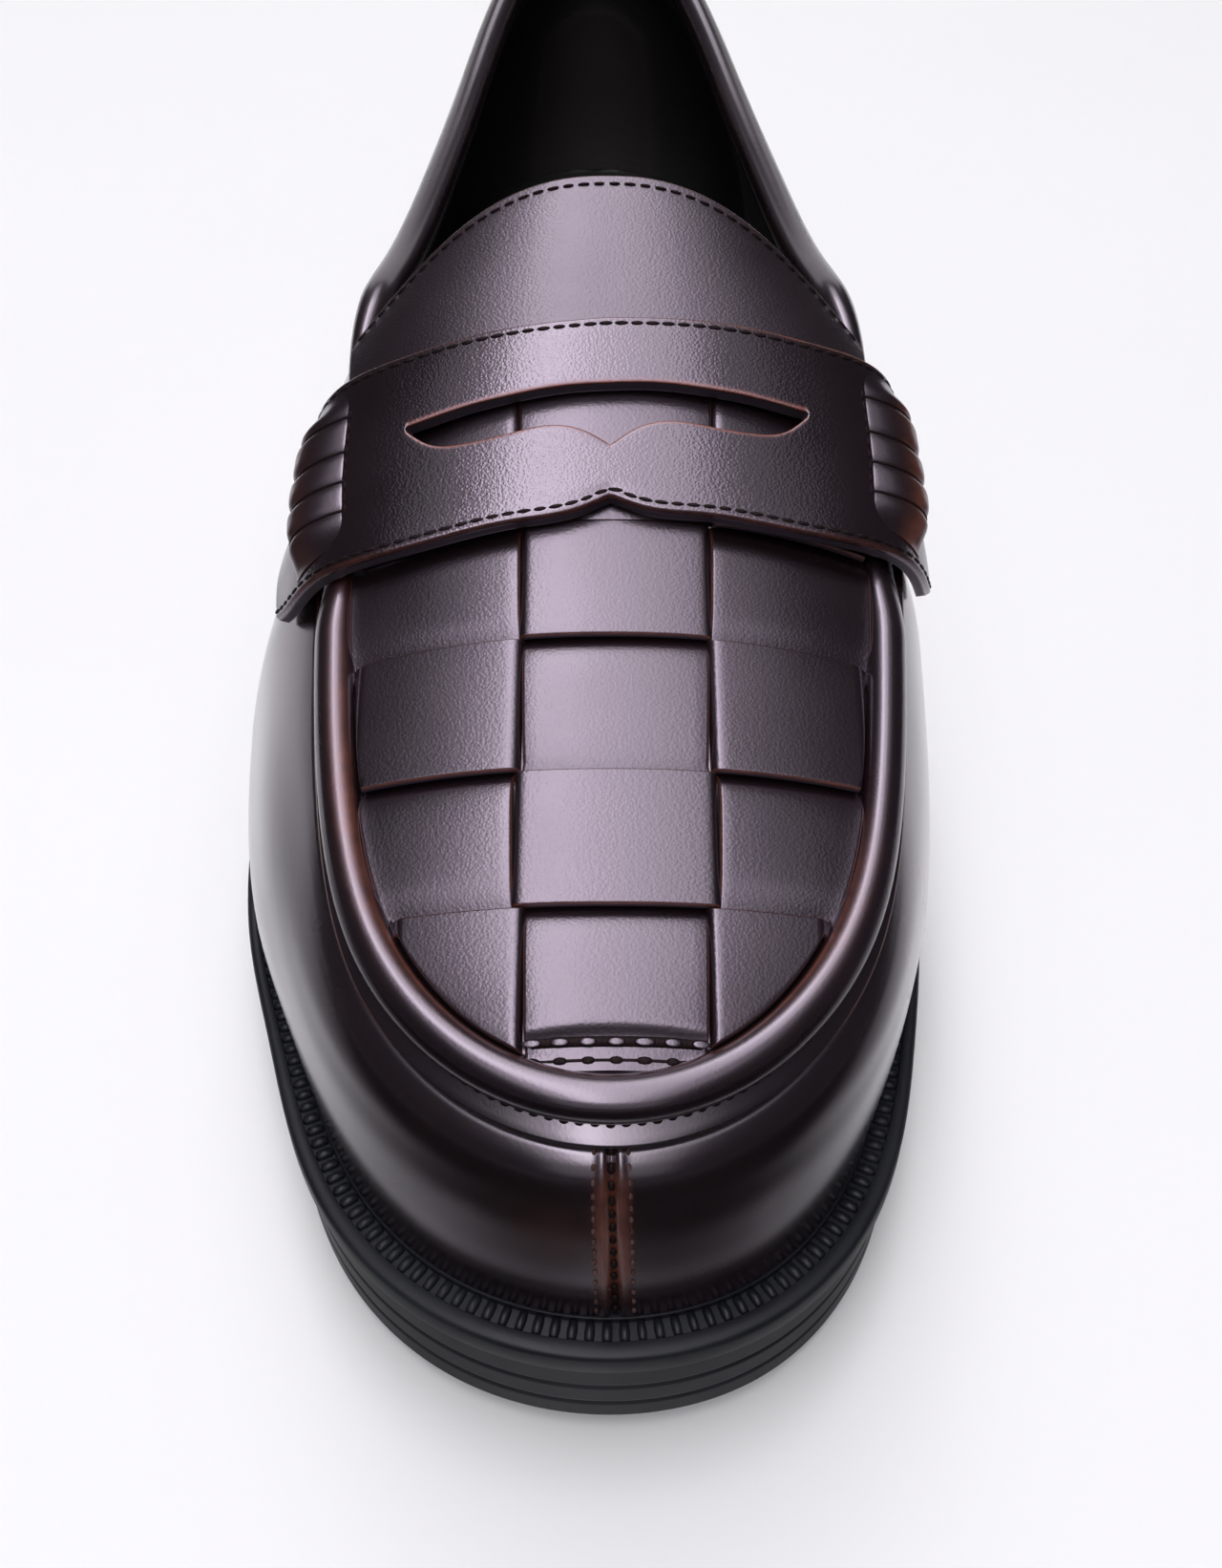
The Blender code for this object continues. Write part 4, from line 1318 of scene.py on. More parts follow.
@dataclass
class SubAssembly:
    """A part of the shoe, built on the last and carried by the root body."""

    shop: Workshop

    def settle(self, item: Item, slot: str, *nodes: str) -> None:
        """Sets a piece on the root body.

        Args:
            item: The piece.
            slot: The record's material slot of its finish; not used.
            nodes: The solids that it stands for.
        """
        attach(item, "root")
        if nodes:
            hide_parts(*nodes)
        LOG.info("%s: %d faces", item.name, len(item.data.polygons))

    def stitches(self, name: str, paths: Sequence[Path], slot: str, stitch: Stitch,
                 material: Material | None = None) -> None:
        """Sews rows of stitches.

        Args:
            name: The rows' name.
            paths: The rows.
            slot: The record's material slot.
            stitch: Sizes of the stitches.
            material: Thread, if not the dark one.
        """
        thread = material or self.shop.finishes.thread
        rows = self.shop.repeats.make(name, Repeat.STITCH, paths, stitch.sizes(), thread)
        self.settle(rows, slot)


def spaced_rows(first: float, last: float, count: int) -> Array:
    """Returns rows between two ends, closer together at both rounded ends."""
    angle = np.linspace(0.0, math.pi, count + 2)[1:-1]
    return (first + last) / 2 - (last - first) / 2 * np.cos(angle)


def loop_cap(draft: Draft, ring: Array, rows: Array, ends: tuple[int, int]) -> None:
    """Closes a loop with rows of points from its lateral to its medial side.

    Args:
        draft: The piece.
        ring: Numbers of the loop's points: toe, lateral rows, heel, medial rows back.
        rows: Numbers of the points between, one row for each lateral point.
        ends: Positions of the toe and the heel in the loop.
    """
    toe, heel = ring[ends[0]], ring[ends[1]]
    lateral, medial = ring[1:ends[1]], ring[:ends[1]:-1]
    full = np.column_stack([lateral, rows, medial])
    draft.add_faces(quads(full))
    draft.add_faces([(int(toe), int(b), int(a)) for a, b in zip(full[0], full[0][1:])])
    draft.add_faces([(int(heel), int(a), int(b)) for a, b in zip(full[-1], full[-1][1:])])


@dataclass
class SoleRings(SubAssembly):
    """Rings round the sole, shared by sole, welt and sock."""

    row_count: int = 190
    welt_thick: float = 3.7

    def loop(self) -> tuple[Array, Array]:
        """Finds the loop round the sole.

        Returns:
            Its places and their y.
        """
        toe, heel = SECTIONS[[0, HEEL_ROW], SOLE_Y]
        rows = spaced_rows(toe, heel, self.row_count)
        return self.shop.last.loop(SOLE_Y, rows), np.concatenate([[toe], rows, [heel], rows[::-1]])

    def across(self, ring_points: Array, columns: int) -> Array:
        """Works out points between the lateral and the medial side of a ring.

        Args:
            ring_points: Points of the ring.
            columns: How many points in a row.

        Returns:
            Points in rows.
        """
        count = self.row_count
        lateral, medial = ring_points[1:count + 1], ring_points[:count + 1:-1]
        share = np.linspace(0.0, 1.0, columns + 2)[1:-1, None]
        return lateral[:, None] + (medial - lateral)[:, None] * share


@dataclass
class Outsole(SoleRings):
    """Rubber unit: banded side, toe spring, arch, heel and a ribbed tread."""

    side_rings: int = 61
    bands: tuple[float, ...] = (0.32, 0.64)
    band_depth: float = 0.55
    band_half: float = 0.02
    platform_inset: float = 10.3
    tread_columns: int = 40
    tread_pitch: float = 7.0
    tread_depth: float = 1.2
    tread_margin: float = 7.0
    tread_soft: float = 1.5
    tread_wave: Span = (2.0, 9.0)
    tread_cut: Span = (0.25, 0.5)
    # along the shoe: where the tread starts, is whole, starts to end and has ended
    tread_areas: tuple[tuple[float, ...], ...] = ((-136.0, -132.0, -34.0, -31.0), (66.0, 69.0, 136.0, 139.0))
    side_lean: Span = (1.15, 0.45)
    foot_round: Span = (0.85, 0.07)
    top_round: Span = (0.4, 0.03)

    def side_inset(self, share: float) -> float:
        """Works out how far the side is set in from the welt's edge at a share of its height.

        Args:
            share: Share of the side's height.

        Returns:
            The distance.
        """
        inset = self.side_lean[0] - self.side_lean[1] * share
        for (depth, reach), distance in ((self.foot_round, share), (self.top_round, 1 - share)):
            inset += depth * max(0.0, 1 - distance / reach) ** 2
        return inset + sum(self.band_depth * float(hill(share, band, self.band_half)) for band in self.bands)

    def tread(self, points: Array) -> Array:
        """Works out how deep the tread is cut at points of the underside.

        Args:
            points: Points in rows across the sole.

        Returns:
            The depths.
        """
        x, y = points[..., 0], points[..., 1]
        swing, length = self.tread_wave
        wave = np.sin((y + swing * np.cos(x / length)) * 2 * math.pi / self.tread_pitch)
        edge = np.minimum(np.abs(x - points[:, :1, 0]), np.abs(points[:, -1:, 0] - x))
        inside = smooth_step(edge, self.tread_margin, self.tread_margin + self.tread_soft)
        areas = sum(smooth_step(y, *area[:2]) * (1 - smooth_step(y, *area[2:])) for area in self.tread_areas)
        return self.tread_depth * smooth_step(wave, *self.tread_cut) * inside * areas

    def build(self) -> None:
        """Builds the sole from its underside up."""
        last = self.shop.last
        places, y = self.loop()
        low, high = last.underside(y), last.welt_top(y) - self.welt_thick - FIT
        rings = [last.sole_ring(places, self.side_inset(share), low + (high - low) * share)
                 for share in np.linspace(0.0, 1.0, self.side_rings)]
        rings.append(last.sole_ring(places, self.platform_inset, high))
        rings.append(last.sole_ring(places, self.platform_inset, last.welt_top(y)))
        draft = Draft()
        numbers = draft.add_points(np.array(rings))
        draft.add_faces(quads(numbers, wrap=True))
        under = self.across(rings[0], self.tread_columns)
        under[..., 2] = last.underside(under[..., 1]) + self.tread(under)
        ends = 0, self.row_count + 1
        loop_cap(draft, numbers[0], draft.add_points(under), ends)
        loop_cap(draft, numbers[-1], draft.add_points(self.across(rings[-1], 3)), ends)
        sole = draft.make("rubber_sole", [self.shop.finishes.rubber], sharp=40.0)
        self.settle(sole, "sole_rubber", "outsole")


@dataclass
class Welt(SoleRings):
    """Rubber strip round the top of the sole: a smooth rim and a trough full of small teeth."""

    # share of the welt's width inwards, extra millimetres inwards, height over its top
    section: tuple[tuple[float, float, float], ...] = (
        (0.0, 0.4, -3.7), (0.0, 0.1, -3.55), (0.0, 0.0, -3.2), (0.0, 0.0, -0.8), (0.0, 0.1, -0.4),
        (0.0, 0.3, -0.12), (0.0, 0.6, 0.0), (0.40, 0.0, 0.0), (0.435, 0.0, -0.1), (0.45, 0.0, -0.9),
        (0.95, 0.0, -0.9), (0.96, 0.0, -0.1), (0.98, 0.0, 0.0), (0.0, 10.0, 0.0), (0.0, 10.0, -3.7),
    )
    trough: Span = (0.44, 0.96)
    tooth_pitch: float = 2.1
    tooth_length: float = 1.25
    tooth_height: float = 1.5
    tooth_sink: float = 0.06
    seed: int = 3

    def build(self) -> None:
        """Builds the strip and sets its teeth."""
        last = self.shop.last
        places, y = self.loop()
        width = last.welt_width(y)
        rings = np.array([last.sole_ring(places, width * share + more, last.welt_top(y) + rise)
                          for share, more, rise in self.section])
        draft = Draft()
        numbers = draft.add_points(rings)
        draft.add_faces(quads(np.vstack([numbers, numbers[:1]]), wrap=True))
        self.settle(draft.make("welt_strip", [self.shop.finishes.welt], sharp=40.0), "welt_rubber", "welt")
        self.build_teeth(places, y, width)

    def build_teeth(self, places: Array, y: Array, width: Array) -> None:
        """Sets the teeth in the trough.

        Args:
            places: Places round the shoe.
            y: Their y.
            width: The welt's width there.
        """
        last = self.shop.last
        middle = width * sum(self.trough) / 2
        drop = self.tooth_height / 2 + self.tooth_sink
        path = last.sole_ring(places, middle, last.welt_top(y) - drop)
        path, reach = np.vstack([path, path[:1]]), np.append(width, width[0])
        sizes = {"Pitch": self.tooth_pitch, "Length": self.tooth_length, "Height": self.tooth_height,
                 "Width": self.trough[1] - self.trough[0], "Seed": self.seed}
        facing = np.broadcast_to(UP, path.shape)
        teeth = self.shop.repeats.make("welt_teeth", Repeat.TOOTH, [(path, facing)], sizes,
                                       self.shop.finishes.welt, reach)
        self.settle(teeth, "welt_rubber")


@dataclass
class Sock(SoleRings):
    """Sock that closes the inside of the shoe."""

    thick: float = 3.0
    ease: float = 1.3
    dish: float = 0.8
    columns: int = 24
    # rounded edge: share of the ease, share of the thickness
    profile: tuple[Span, ...] = ((0.0, 0.0), (0.2, 0.7), (0.45, 0.93), (1.0, 1.0))

    def build(self) -> None:
        """Builds the sock with a rounded edge and a slight hollow for the foot."""
        last = self.shop.last
        places, y = self.loop()
        inset = last.welt_width(y) + last.wall + FIT
        base = last.welt_top(y) + FIT
        rings = [last.sole_ring(places, inset + self.ease * ease, base + self.thick * share)
                 for ease, share in self.profile]
        draft = Draft()
        numbers = draft.add_points(np.array(rings))
        draft.add_faces(quads(numbers, wrap=True))
        ends = 0, self.row_count + 1
        loop_cap(draft, numbers[0], draft.add_points(self.across(rings[0], 3)), ends)
        top = self.across(rings[-1], self.columns)
        share = np.linspace(-1.0, 1.0, self.columns + 2)[1:-1]
        top[..., 2] -= self.dish * (1 - share**2)
        loop_cap(draft, numbers[-1], draft.add_points(top), ends)
        self.settle(draft.make("sock", [self.shop.finishes.sock]), "sock_leather", "insole")


@dataclass
class Upper(SubAssembly):
    """Toe, vamp and quarters: one lined wall with a seam down the middle of the toe."""

    wall_rings: int = 38
    wall_top: float = 0.96
    # line under the flange: share of the wall, height, part of the cut edge
    crease: tuple[tuple[float, float, float], ...] = (
        (0.966, 0.0, 0.0), (0.976, -0.08, 0.2), (0.986, -0.32, 1.0), (1.0, -0.45, 1.0),
    )
    fine_reach: float = 3.0
    fine_step: float = 0.15
    coarse_step: float = 1.8
    ease_steps: int = 14
    seam_lean: float = 0.9
    seam_depth: float = 0.6
    seam_half: float = 0.45
    seam_lip: float = 0.16
    seam_lip_at: Span = (1.1, 0.6)
    seam_rub: float = 0.5
    seam_rub_edge: Span = (0.9, 2.7)
    seam_rub_top: Span = (1.0, 0.8)
    seam_rub_foot: Span = (0.0, 0.4)
    seam_reach: Span = (0.04, 0.975)
    seam_points: int = 60
    # rows of the toe seam: distance from its middle, height over the leather
    seam_rows: tuple[Span, ...] = ((0.0, -0.32), (2.05, 0.08), (-2.05, 0.08))
    seam_facing: Colour = (0.0, -1.0, 0.35)
    toe_glow: Glow = Glow(0.09, (6.0, 7.0), (0.52, 0.2))
    seam_stitch: Stitch = Stitch(2.1, 1.4, 0.9, 0.6)
    row_stitch: Stitch = Stitch(1.7, 0.9, 0.55, 0.5)
    # flange under the seam roll: share of the seat band, height, part of the cut edge
    flange: tuple[tuple[float, float, float], ...] = (
        (0.0, -0.40, 1.0), (0.003, 0.60, 1.0), (0.012, 1.08, 0.3), (0.03, 1.24, 0.0), (0.06, 1.22, 0.0),
        (0.14, 1.04, 0.0), (0.24, 0.82, 0.0), (0.34, 0.60, 0.0), (0.44, 0.38, 0.0), (0.52, 0.20, 0.0),
        (0.56, 0.08, 0.3), (0.585, -0.20, 1.0), (0.62, -0.40, 1.0), (0.75, -0.40, 1.0), (1.0, 0.0, 0.0),
    )
    flange_rub: float = 0.75
    flange_rub_at: Span = (0.02, 0.02)
    flange_rub_start: Span = (-128.0, -108.0)
    bead_rows: Span = (-150.0, -58.0)
    bead_points: int = 150
    bead_share: float = 0.315
    bead_lift: float = 0.72
    bead_stitch: Stitch = Stitch(1.75, 1.2, 0.8, 0.5)
    grip_half: float = 14.0
    grip_top: float = 73.0
    grip_drop: float = 6.0
    grip_edge: Span = (0.95, 1.02)
    grip_soft: float = 0.5
    grip_depth: float = 0.4

    def places(self) -> Array:
        """Works out places round the shoe, close together at the toe seam.

        Returns:
            The places.
        """
        last = self.shop.last
        fine = np.arange(-self.fine_reach, self.fine_reach + self.fine_step / 2, self.fine_step)
        ease = self.fine_reach + np.cumsum(np.linspace(self.fine_step, self.coarse_step, self.ease_steps))
        count = int((last.length - 2 * ease[-1]) / self.coarse_step)
        rest = np.linspace(ease[-1], last.length - ease[-1], count)
        return np.concatenate([fine, ease, rest[1:-1], last.length - ease[::-1]])

    def build(self) -> None:
        """Builds the wall and sews it."""
        last = self.shop.last
        places = self.places()
        front = last.front(places)
        rows = [(share, 0.0, 0.0) for share in np.linspace(0.0, self.wall_top, self.wall_rings)]
        rows.extend(self.crease)
        rings, lifts, warm, cut = [], [], [], []
        for share, lift, edge in rows:
            rings.append(last.wall_points(places, share))
            cut.append(front * edge)
            distance = last.from_toe(places) + self.seam_lean * (1 - share)
            groove = self.seam_depth * hill(distance, 0.0, self.seam_half)
            lip = self.seam_lip * hill(np.abs(distance), *self.seam_lip_at)
            lifts.append(lip - groove + front * lift)
            seam = self.seam_rub * (1 - smooth_step(np.abs(distance), *self.seam_rub_edge))
            seam = seam * smooth_step(share, *self.seam_rub_top) * smooth_step(share, *self.seam_rub_foot)
            warm.append(seam + self.toe_glow.at(distance, share))
        rub_start = smooth_step(last.section(places)[:, EDGE_Y], *self.flange_rub_start)
        for share, lift, edge in self.flange:
            rings.append(last.seat_points(places, share))
            lifts.append(front * lift)
            cut.append(front * edge)
            warm.append(self.flange_rub * front * hill(share, *self.flange_rub_at) * rub_start)
        outer = np.array(rings)
        normals = grid_normals(outer, wrap=True)
        # the wall meets the flange at a corner, and both rings there take the normals of their neighbours
        corner = len(rows)
        normals[corner - 1] = normals[corner - 2]
        normals[corner] = normals[corner + 2]
        inner = outer - normals * last.wall
        inner[0, :, 2] = outer[0, :, 2]
        grip = self.grip_mask(places, inner)
        inner -= normals * (self.grip_depth * grip)[..., None]
        outer = outer + normals * np.array(lifts)[..., None]
        faces = quads(np.arange(outer[..., 0].size).reshape(outer.shape[:2]), wrap=True)
        draft = Draft()
        draft.shell(outer, inner, faces, np.array(warm).ravel(), inner_slot=1, inner_burnish=grip.ravel(),
                    raw=np.array(cut).ravel())
        upper = draft.make("upper_wall", [self.shop.finishes.upper, self.shop.finishes.lining], sharp=60.0)
        self.settle(upper, "upper_leather", "upper")
        self.sew()

    def grip_mask(self, places: Array, inner: Array) -> Array:
        """Works out where the heel grip lies on the lining.

        Args:
            places: Places round the shoe.
            inner: Points of the lining in rings.

        Returns:
            1 on the grip, 0 off it.
        """
        side = np.abs(places - self.shop.last.heel_place) / self.grip_half
        over = inner[..., 2] - (self.grip_top - self.grip_drop * side**2)
        above = smooth_step(over, -self.grip_soft, self.grip_soft)
        return (1 - smooth_step(side, *self.grip_edge)) * (1 - above)

    def sew(self) -> None:
        """Sews the toe seam and the row under the seam roll."""
        last = self.shop.last
        facing = np.broadcast_to(unit(np.array(self.seam_facing)), (self.seam_points, 3))
        paths = []
        for offset, lift in self.seam_rows:
            points = []
            for share in np.linspace(*self.seam_reach, self.seam_points):
                place = np.array([(offset - self.seam_lean * (1 - share)) % last.length])
                points.append(last.wall_points(place, share)[0])
            paths.append((np.array(points) + facing * lift, facing))
        self.stitches("toe_seam_thread", paths[:1], "upper_leather", self.seam_stitch)
        self.stitches("toe_row_thread", paths[1:], "upper_leather", self.row_stitch,
                      self.shop.finishes.brown_thread)
        y = spaced_rows(*self.bead_rows, self.bead_points)
        y = y[y > SECTIONS[0, EDGE_Y]]
        lateral, medial = last.places(Side.LATERAL, EDGE_Y, y), last.places(Side.MEDIAL, EDGE_Y, y)
        line = np.concatenate([lateral[::-1], [0.0], medial])
        _, normal, _ = last.seat_axes(line)
        path = last.seat_points(line, self.bead_share) + normal * self.bead_lift
        self.stitches("flange_thread", [(path, normal)], "upper_leather", self.bead_stitch)


@dataclass
class WovenPlug(SubAssembly):
    """Plug woven from three strips along the shoe and five across it."""

    row_edges: tuple[float, ...] = (-131.6, -113.4, -96.0, -78.0, -61.7, -38.0)
    strip_half: float = 12.0
    strip_taper: float = 0.03
    strip_bulge: float = 1.1
    strip_middle: float = 0.6
    side_margin: float = -0.8
    gap: float = 0.10
    thick: float = 1.25
    top: float = 1.35
    end: float = -0.30
    cross_end: float = 0.6
    roll_tuck: float = 1.4
    under: float = -0.75
    rounding: float = 0.38
    edge_reach: float = 0.6
    front_end: float = -132.2
    fold: float = -127.9
    fold_sag: float = 0.9
    end_inset: float = 0.9
    bulge_start: float = 1.0
    bulge_full: float = 0.5
    # how steeply a strip rises at the ends of a tile
    long_power: float = 3.4
    cross_power: float = 40.0
    side_power: int = 28
    under_power: int = 4
    side_reach: float = 0.55
    roll_reach: float = 2.5
    ribbon_columns: int = 15
    edge_share: float = 0.3
    # underside of a strip: distance past its edge, share of its thickness
    belly: tuple[Span, ...] = ((0.05, 0.62), (0.0, 0.85), (-0.2, 1.0))
    edge_rub: tuple[float, ...] = (0.6, 0.75, 0.3, 0.0, 0.0)
    edge_raw: float = 0.25
    base_start: float = 0.3
    base_lift: float = -1.5
    base_grid: tuple[int, int] = (90, 41)
    long_rows: tuple[int, int] = (44, 110)
    side_start: float = -124.0
    side_rows: int = 130
    tile_columns: int = 48
    outline_reach: Span = (-132.0, -20.0)
    outline_points: int = 300
    least_length: float = 2.0
    fold_reach: Span = (-1.0, 0.9)
    fold_lift: float = 0.1
    # rows across the front end: place along the shoe, height over the plug
    lacing_row: Span = (-129.2, 0.6)
    thread_row: Span = (-131.1, 0.1)
    end_points: int = 50
    # cords across the front end: name, row, radius; the wide first cord is the dark thread under the lacing
    # and also a painted shadow, a dark band standing in for the shade under the strip's curled end
    end_cords: tuple[tuple[str, Span, float], ...] = (
        ("plug_end_cord_and_shadow", (-129.05, -0.2), 0.75), ("plug_end_line", (-131.1, 0.0), 0.22),
    )
    lacing: Stitch = Stitch(2.85, 2.3, 0.9, 0.25)
    end_stitch: Stitch = Stitch(2.85, 1.8, 0.95, 0.5)

    def strip_edge(self, y: Array) -> Array:
        """Works out the half width of the middle strip.

        Args:
            y: Places along the shoe.

        Returns:
            The half widths.
        """
        front, back = self.row_edges[1:3]
        wide = smooth_step(y, front - self.bulge_start, front + self.bulge_full)
        wide = wide * smooth_step(y, back + self.bulge_start, back - self.bulge_full)
        return self.strip_half + self.strip_taper * (y - self.row_edges[3]) + self.strip_bulge * wide

    def over_lift(self, share: Array, power: float, end: float) -> Array:
        """Returns the height of a strip along a tile where it lies on top."""
        return end + (self.top - end) * (1 - np.abs(2 * share - 1) ** power)

    def under_lift(self, share: Array) -> Array:
        """Returns the height of a strip along a tile where it lies below."""
        return self.end + (self.under - self.end) * (1 - np.abs(2 * share - 1) ** self.under_power)

    def row_lift(self, y: Array, in_middle: bool) -> Array:
        """Works out the height of a lengthwise strip at each y.

        Args:
            y: Places along the shoe.
            in_middle: True for the middle strip.

        Returns:
            The heights.
        """
        edges = np.array(self.row_edges)
        row = np.clip(np.searchsorted(edges, y), 1, len(edges) - 1)
        share = (y - edges[row - 1]) / (edges[row] - edges[row - 1])
        over = (row % 2 == 1) == in_middle
        return np.where(over, self.over_lift(share, self.long_power, self.end), self.under_lift(share))

    def ribbon(self, draft: Draft, weave: Weave, stations: Array, low: Array, high: Array,
               lift: Callable[[Array, Array], Array]) -> None:
        """Adds one strip with rounded cut edges.

        Args:
            draft: The plug.
            weave: Which way the strip runs.
            stations: Where its sections are along it.
            low: One edge of the strip at each station.
            high: The other edge at each station.
            lift: Height of its top over the smooth plug at x and y.
        """
        inner = np.linspace(0.0, 1.0, self.ribbon_columns)[1:-1]
        rounding = np.array(EDGE_ROUND)
        widest = (high - low)[:, None] * self.edge_share
        left = low[:, None] + np.minimum(rounding[:, 0] * self.edge_reach, widest)
        right = high[:, None] - np.minimum(rounding[::-1, 0] * self.edge_reach, widest)
        start, finish = left[:, -1:], right[:, :1]
        top = np.column_stack([left, start + (finish - start) * inner, right])
        drop = np.concatenate([rounding[:, 1], np.zeros(len(inner)), rounding[::-1, 1]]) * self.rounding
        past, deep = np.array(self.belly).T
        bottom = np.column_stack([high[:, None] + past, low[:, None] - past[::-1]])
        depth = np.concatenate([deep, deep[::-1]]) * self.thick
        across = np.column_stack([top, bottom])
        drop = np.concatenate([drop, depth])
        along = np.broadcast_to(stations[:, None], across.shape)
        x, y = (across, along) if weave is Weave.LENGTHWISE else (along, across)
        sections = self.shop.last.plug_surface(x, y, lift(x, y) - drop)
        under = np.zeros(bottom.shape[1])
        rust = np.concatenate([self.edge_rub, np.zeros(len(inner)), self.edge_rub[::-1], under])
        raw = np.concatenate([np.zeros(top.shape[1]), under + 1.0])
        raw[[0, top.shape[1] - 1]] = self.edge_raw
        draft.tube(sections, np.broadcast_to(rust, across.shape), np.broadcast_to(raw, across.shape))

    def build(self) -> None:
        """Weaves the plug on a dark base and sews its front end down."""
        draft = Draft()
        self.add_base(draft)
        self.add_lengthwise(draft)
        for row in range(1, len(self.row_edges)):
            self.add_crosswise(draft, row)
        plug = draft.make("woven_plug", [self.shop.finishes.plug, self.shop.finishes.lining], sharp=55.0)
        self.settle(plug, "upper_leather", "upper")
        self.sew()

    def add_base(self, draft: Draft) -> None:
        """Adds the dark backing under the strips.

        Args:
            draft: The plug.
        """
        last = self.shop.last
        rows, columns = self.base_grid
        y = np.linspace(SECTIONS[0, EDGE_Y] + self.base_start, self.row_edges[-1], rows)
        left, right = last.edge_at(Side.LATERAL, y)[:, 0], last.edge_at(Side.MEDIAL, y)[:, 0]
        x = left[:, None] + (right - left)[:, None] * np.linspace(0.0, 1.0, columns)
        y = np.broadcast_to(y[:, None], x.shape)
        outer = last.plug_surface(x, y, np.full(x.shape, self.base_lift))
        inner = last.plug_surface(x, y, np.full(x.shape, -last.wall))
        faces = [face[::-1] for face in quads(np.arange(x.size).reshape(x.shape))]
        top, low = draft.add_points(outer, raw=1.0), draft.add_points(inner)
        draft.add_faces([tuple(int(top.flat[i]) for i in face) for face in faces])
        draft.add_faces([tuple(int(low.flat[i]) for i in face[::-1]) for face in faces], 1)
        rim = open_edges(faces)
        draft.add_faces([(int(top.flat[b]), int(top.flat[a]), int(low.flat[a]), int(low.flat[b]))
                         for a, b in rim])

    def add_lengthwise(self, draft: Draft) -> None:
        """Adds the strips that run from the toe to the throat.

        Args:
            draft: The plug.
        """
        last = self.shop.last
        y = np.concatenate([np.linspace(self.front_end, self.row_edges[1], self.long_rows[0])[:-1],
                            np.linspace(self.row_edges[1], self.row_edges[-1], self.long_rows[1])])
        strip = self.strip_edge(y)

        def middle_lift(x: Array, rows: Array) -> Array:
            """Works out the middle strip's height, folded down where its front is sewn.

            Args:
                x: Places across the shoe.
                rows: Places along it.

            Returns:
                The heights.
            """
            tile = self.row_lift(np.maximum(rows, (self.row_edges[0] + self.row_edges[1]) / 2), True)
            fold = self.fold - self.fold_sag * ((x - self.strip_middle) / self.strip_half) ** 2
            curl = smooth_step(rows, fold + self.fold_reach[0], fold + self.fold_reach[1])
            folded = self.fold_lift + (tile - self.fold_lift) * curl
            return np.where(rows < self.row_edges[1], folded, tile)

        edge, middle = strip - self.gap, self.strip_middle
        self.ribbon(draft, Weave.LENGTHWISE, y, middle - edge, middle + edge, middle_lift)
        y = np.linspace(self.side_start, self.row_edges[-1], self.side_rows)
        strip = self.strip_edge(y)
        for side in Side:
            outer = side.value * last.edge_at(side, y)[:, 0] - self.side_margin
            ends = np.stack([middle + side.value * (strip + self.gap), side.value * outer])
            self.ribbon(draft, Weave.LENGTHWISE, y, ends.min(axis=0), ends.max(axis=0),
                        lambda _, rows: self.row_lift(rows, False))

    def add_crosswise(self, draft: Draft, row: int) -> None:
        """Adds one strip that runs across the plug.

        Args:
            draft: The plug.
            row: Its row from the toe, from one.
        """
        last = self.shop.last
        front, back = self.row_edges[row - 1], self.row_edges[row]
        left = float(last.edge_at(Side.LATERAL, np.array([back]))[0, 0]) + self.side_margin
        right = float(last.edge_at(Side.MEDIAL, np.array([back]))[0, 0]) - self.side_margin
        strip, middle = float(self.strip_edge((front + back) / 2)), self.strip_middle
        bends = left, middle - strip, middle + strip, right
        tiles = [spaced_rows(start, end, self.tile_columns) for start, end in zip(bends, bends[1:])]
        x = np.unique(np.concatenate([*tiles, bends]))
        rows = np.linspace(*self.outline_reach, self.outline_points)
        outline = np.concatenate([last.edge_at(side, rows) for side in Side])
        outline = outline[np.argsort(outline[:, 0])]
        low = np.maximum(front + self.gap, np.interp(x, outline[:, 0], outline[:, 1]))
        low = np.minimum(low, back - self.gap - self.least_length)
        high = np.full(len(x), back - self.gap)

        def lift(across: Array, _: Array) -> Array:
            """Works out the strip's height across the plug.

            Args:
                across: Places across the shoe.

            Returns:
                The heights.
            """
            side = np.abs(across - middle)
            share = np.clip(((across - middle) / strip + 1) / 2, 0.0, 1.0)
            if row % 2 == 0:
                over = self.over_lift(share, self.cross_power, self.cross_end)
                return np.where(side < strip, over, self.under)
            rise = 1 - np.clip((side - strip) / (self.side_reach * (right - strip)), 0.0, 1.0)
            over = self.cross_end + (self.top - self.cross_end) * (1 - rise**self.side_power)
            to_roll = np.minimum(across - left, right - across)
            over = over - self.roll_tuck * (1 - smooth_step(to_roll, 0.0, self.roll_reach))
            return np.where(side < strip, self.under_lift(share), over)

        self.ribbon(draft, Weave.CROSSWISE, x, low, high, lift)

    def end_path(self, y: float, lift: float) -> Path:
        """Finds a row across the front of the middle strip.

        Args:
            y: Where the row is along the shoe.
            lift: Its height over the smooth plug.

        Returns:
            The row.
        """
        last = self.shop.last
        half = float(self.strip_edge(y)) - self.end_inset
        x = self.strip_middle + np.linspace(-half, half, self.end_points)
        rows, lifts = np.full(len(x), y), np.full(len(x), lift)
        points, lower = last.plug_surface(x, rows, lifts), last.plug_surface(x, rows, lifts - 1.0)
        return points, unit(points - lower)

    def sew(self) -> None:
        """Laces the front of the middle strip down over a wide dark cord, partly thread and partly a painted
        shadow of the strip's curled end, with a fine row before it.
        """
        finishes = self.shop.finishes
        for name, row, radius in self.end_cords:
            cord = self.shop.repeats.make(name, Repeat.CORD, [self.end_path(*row)], {"Width": radius},
                                          finishes.thread)
            self.settle(cord, "upper_leather")
        self.stitches("plug_end_lacing", [self.end_path(*self.lacing_row)], "upper_leather", self.lacing,
                      finishes.plug)
        self.stitches("plug_end_thread", [self.end_path(*self.thread_row)], "upper_leather", self.end_stitch)


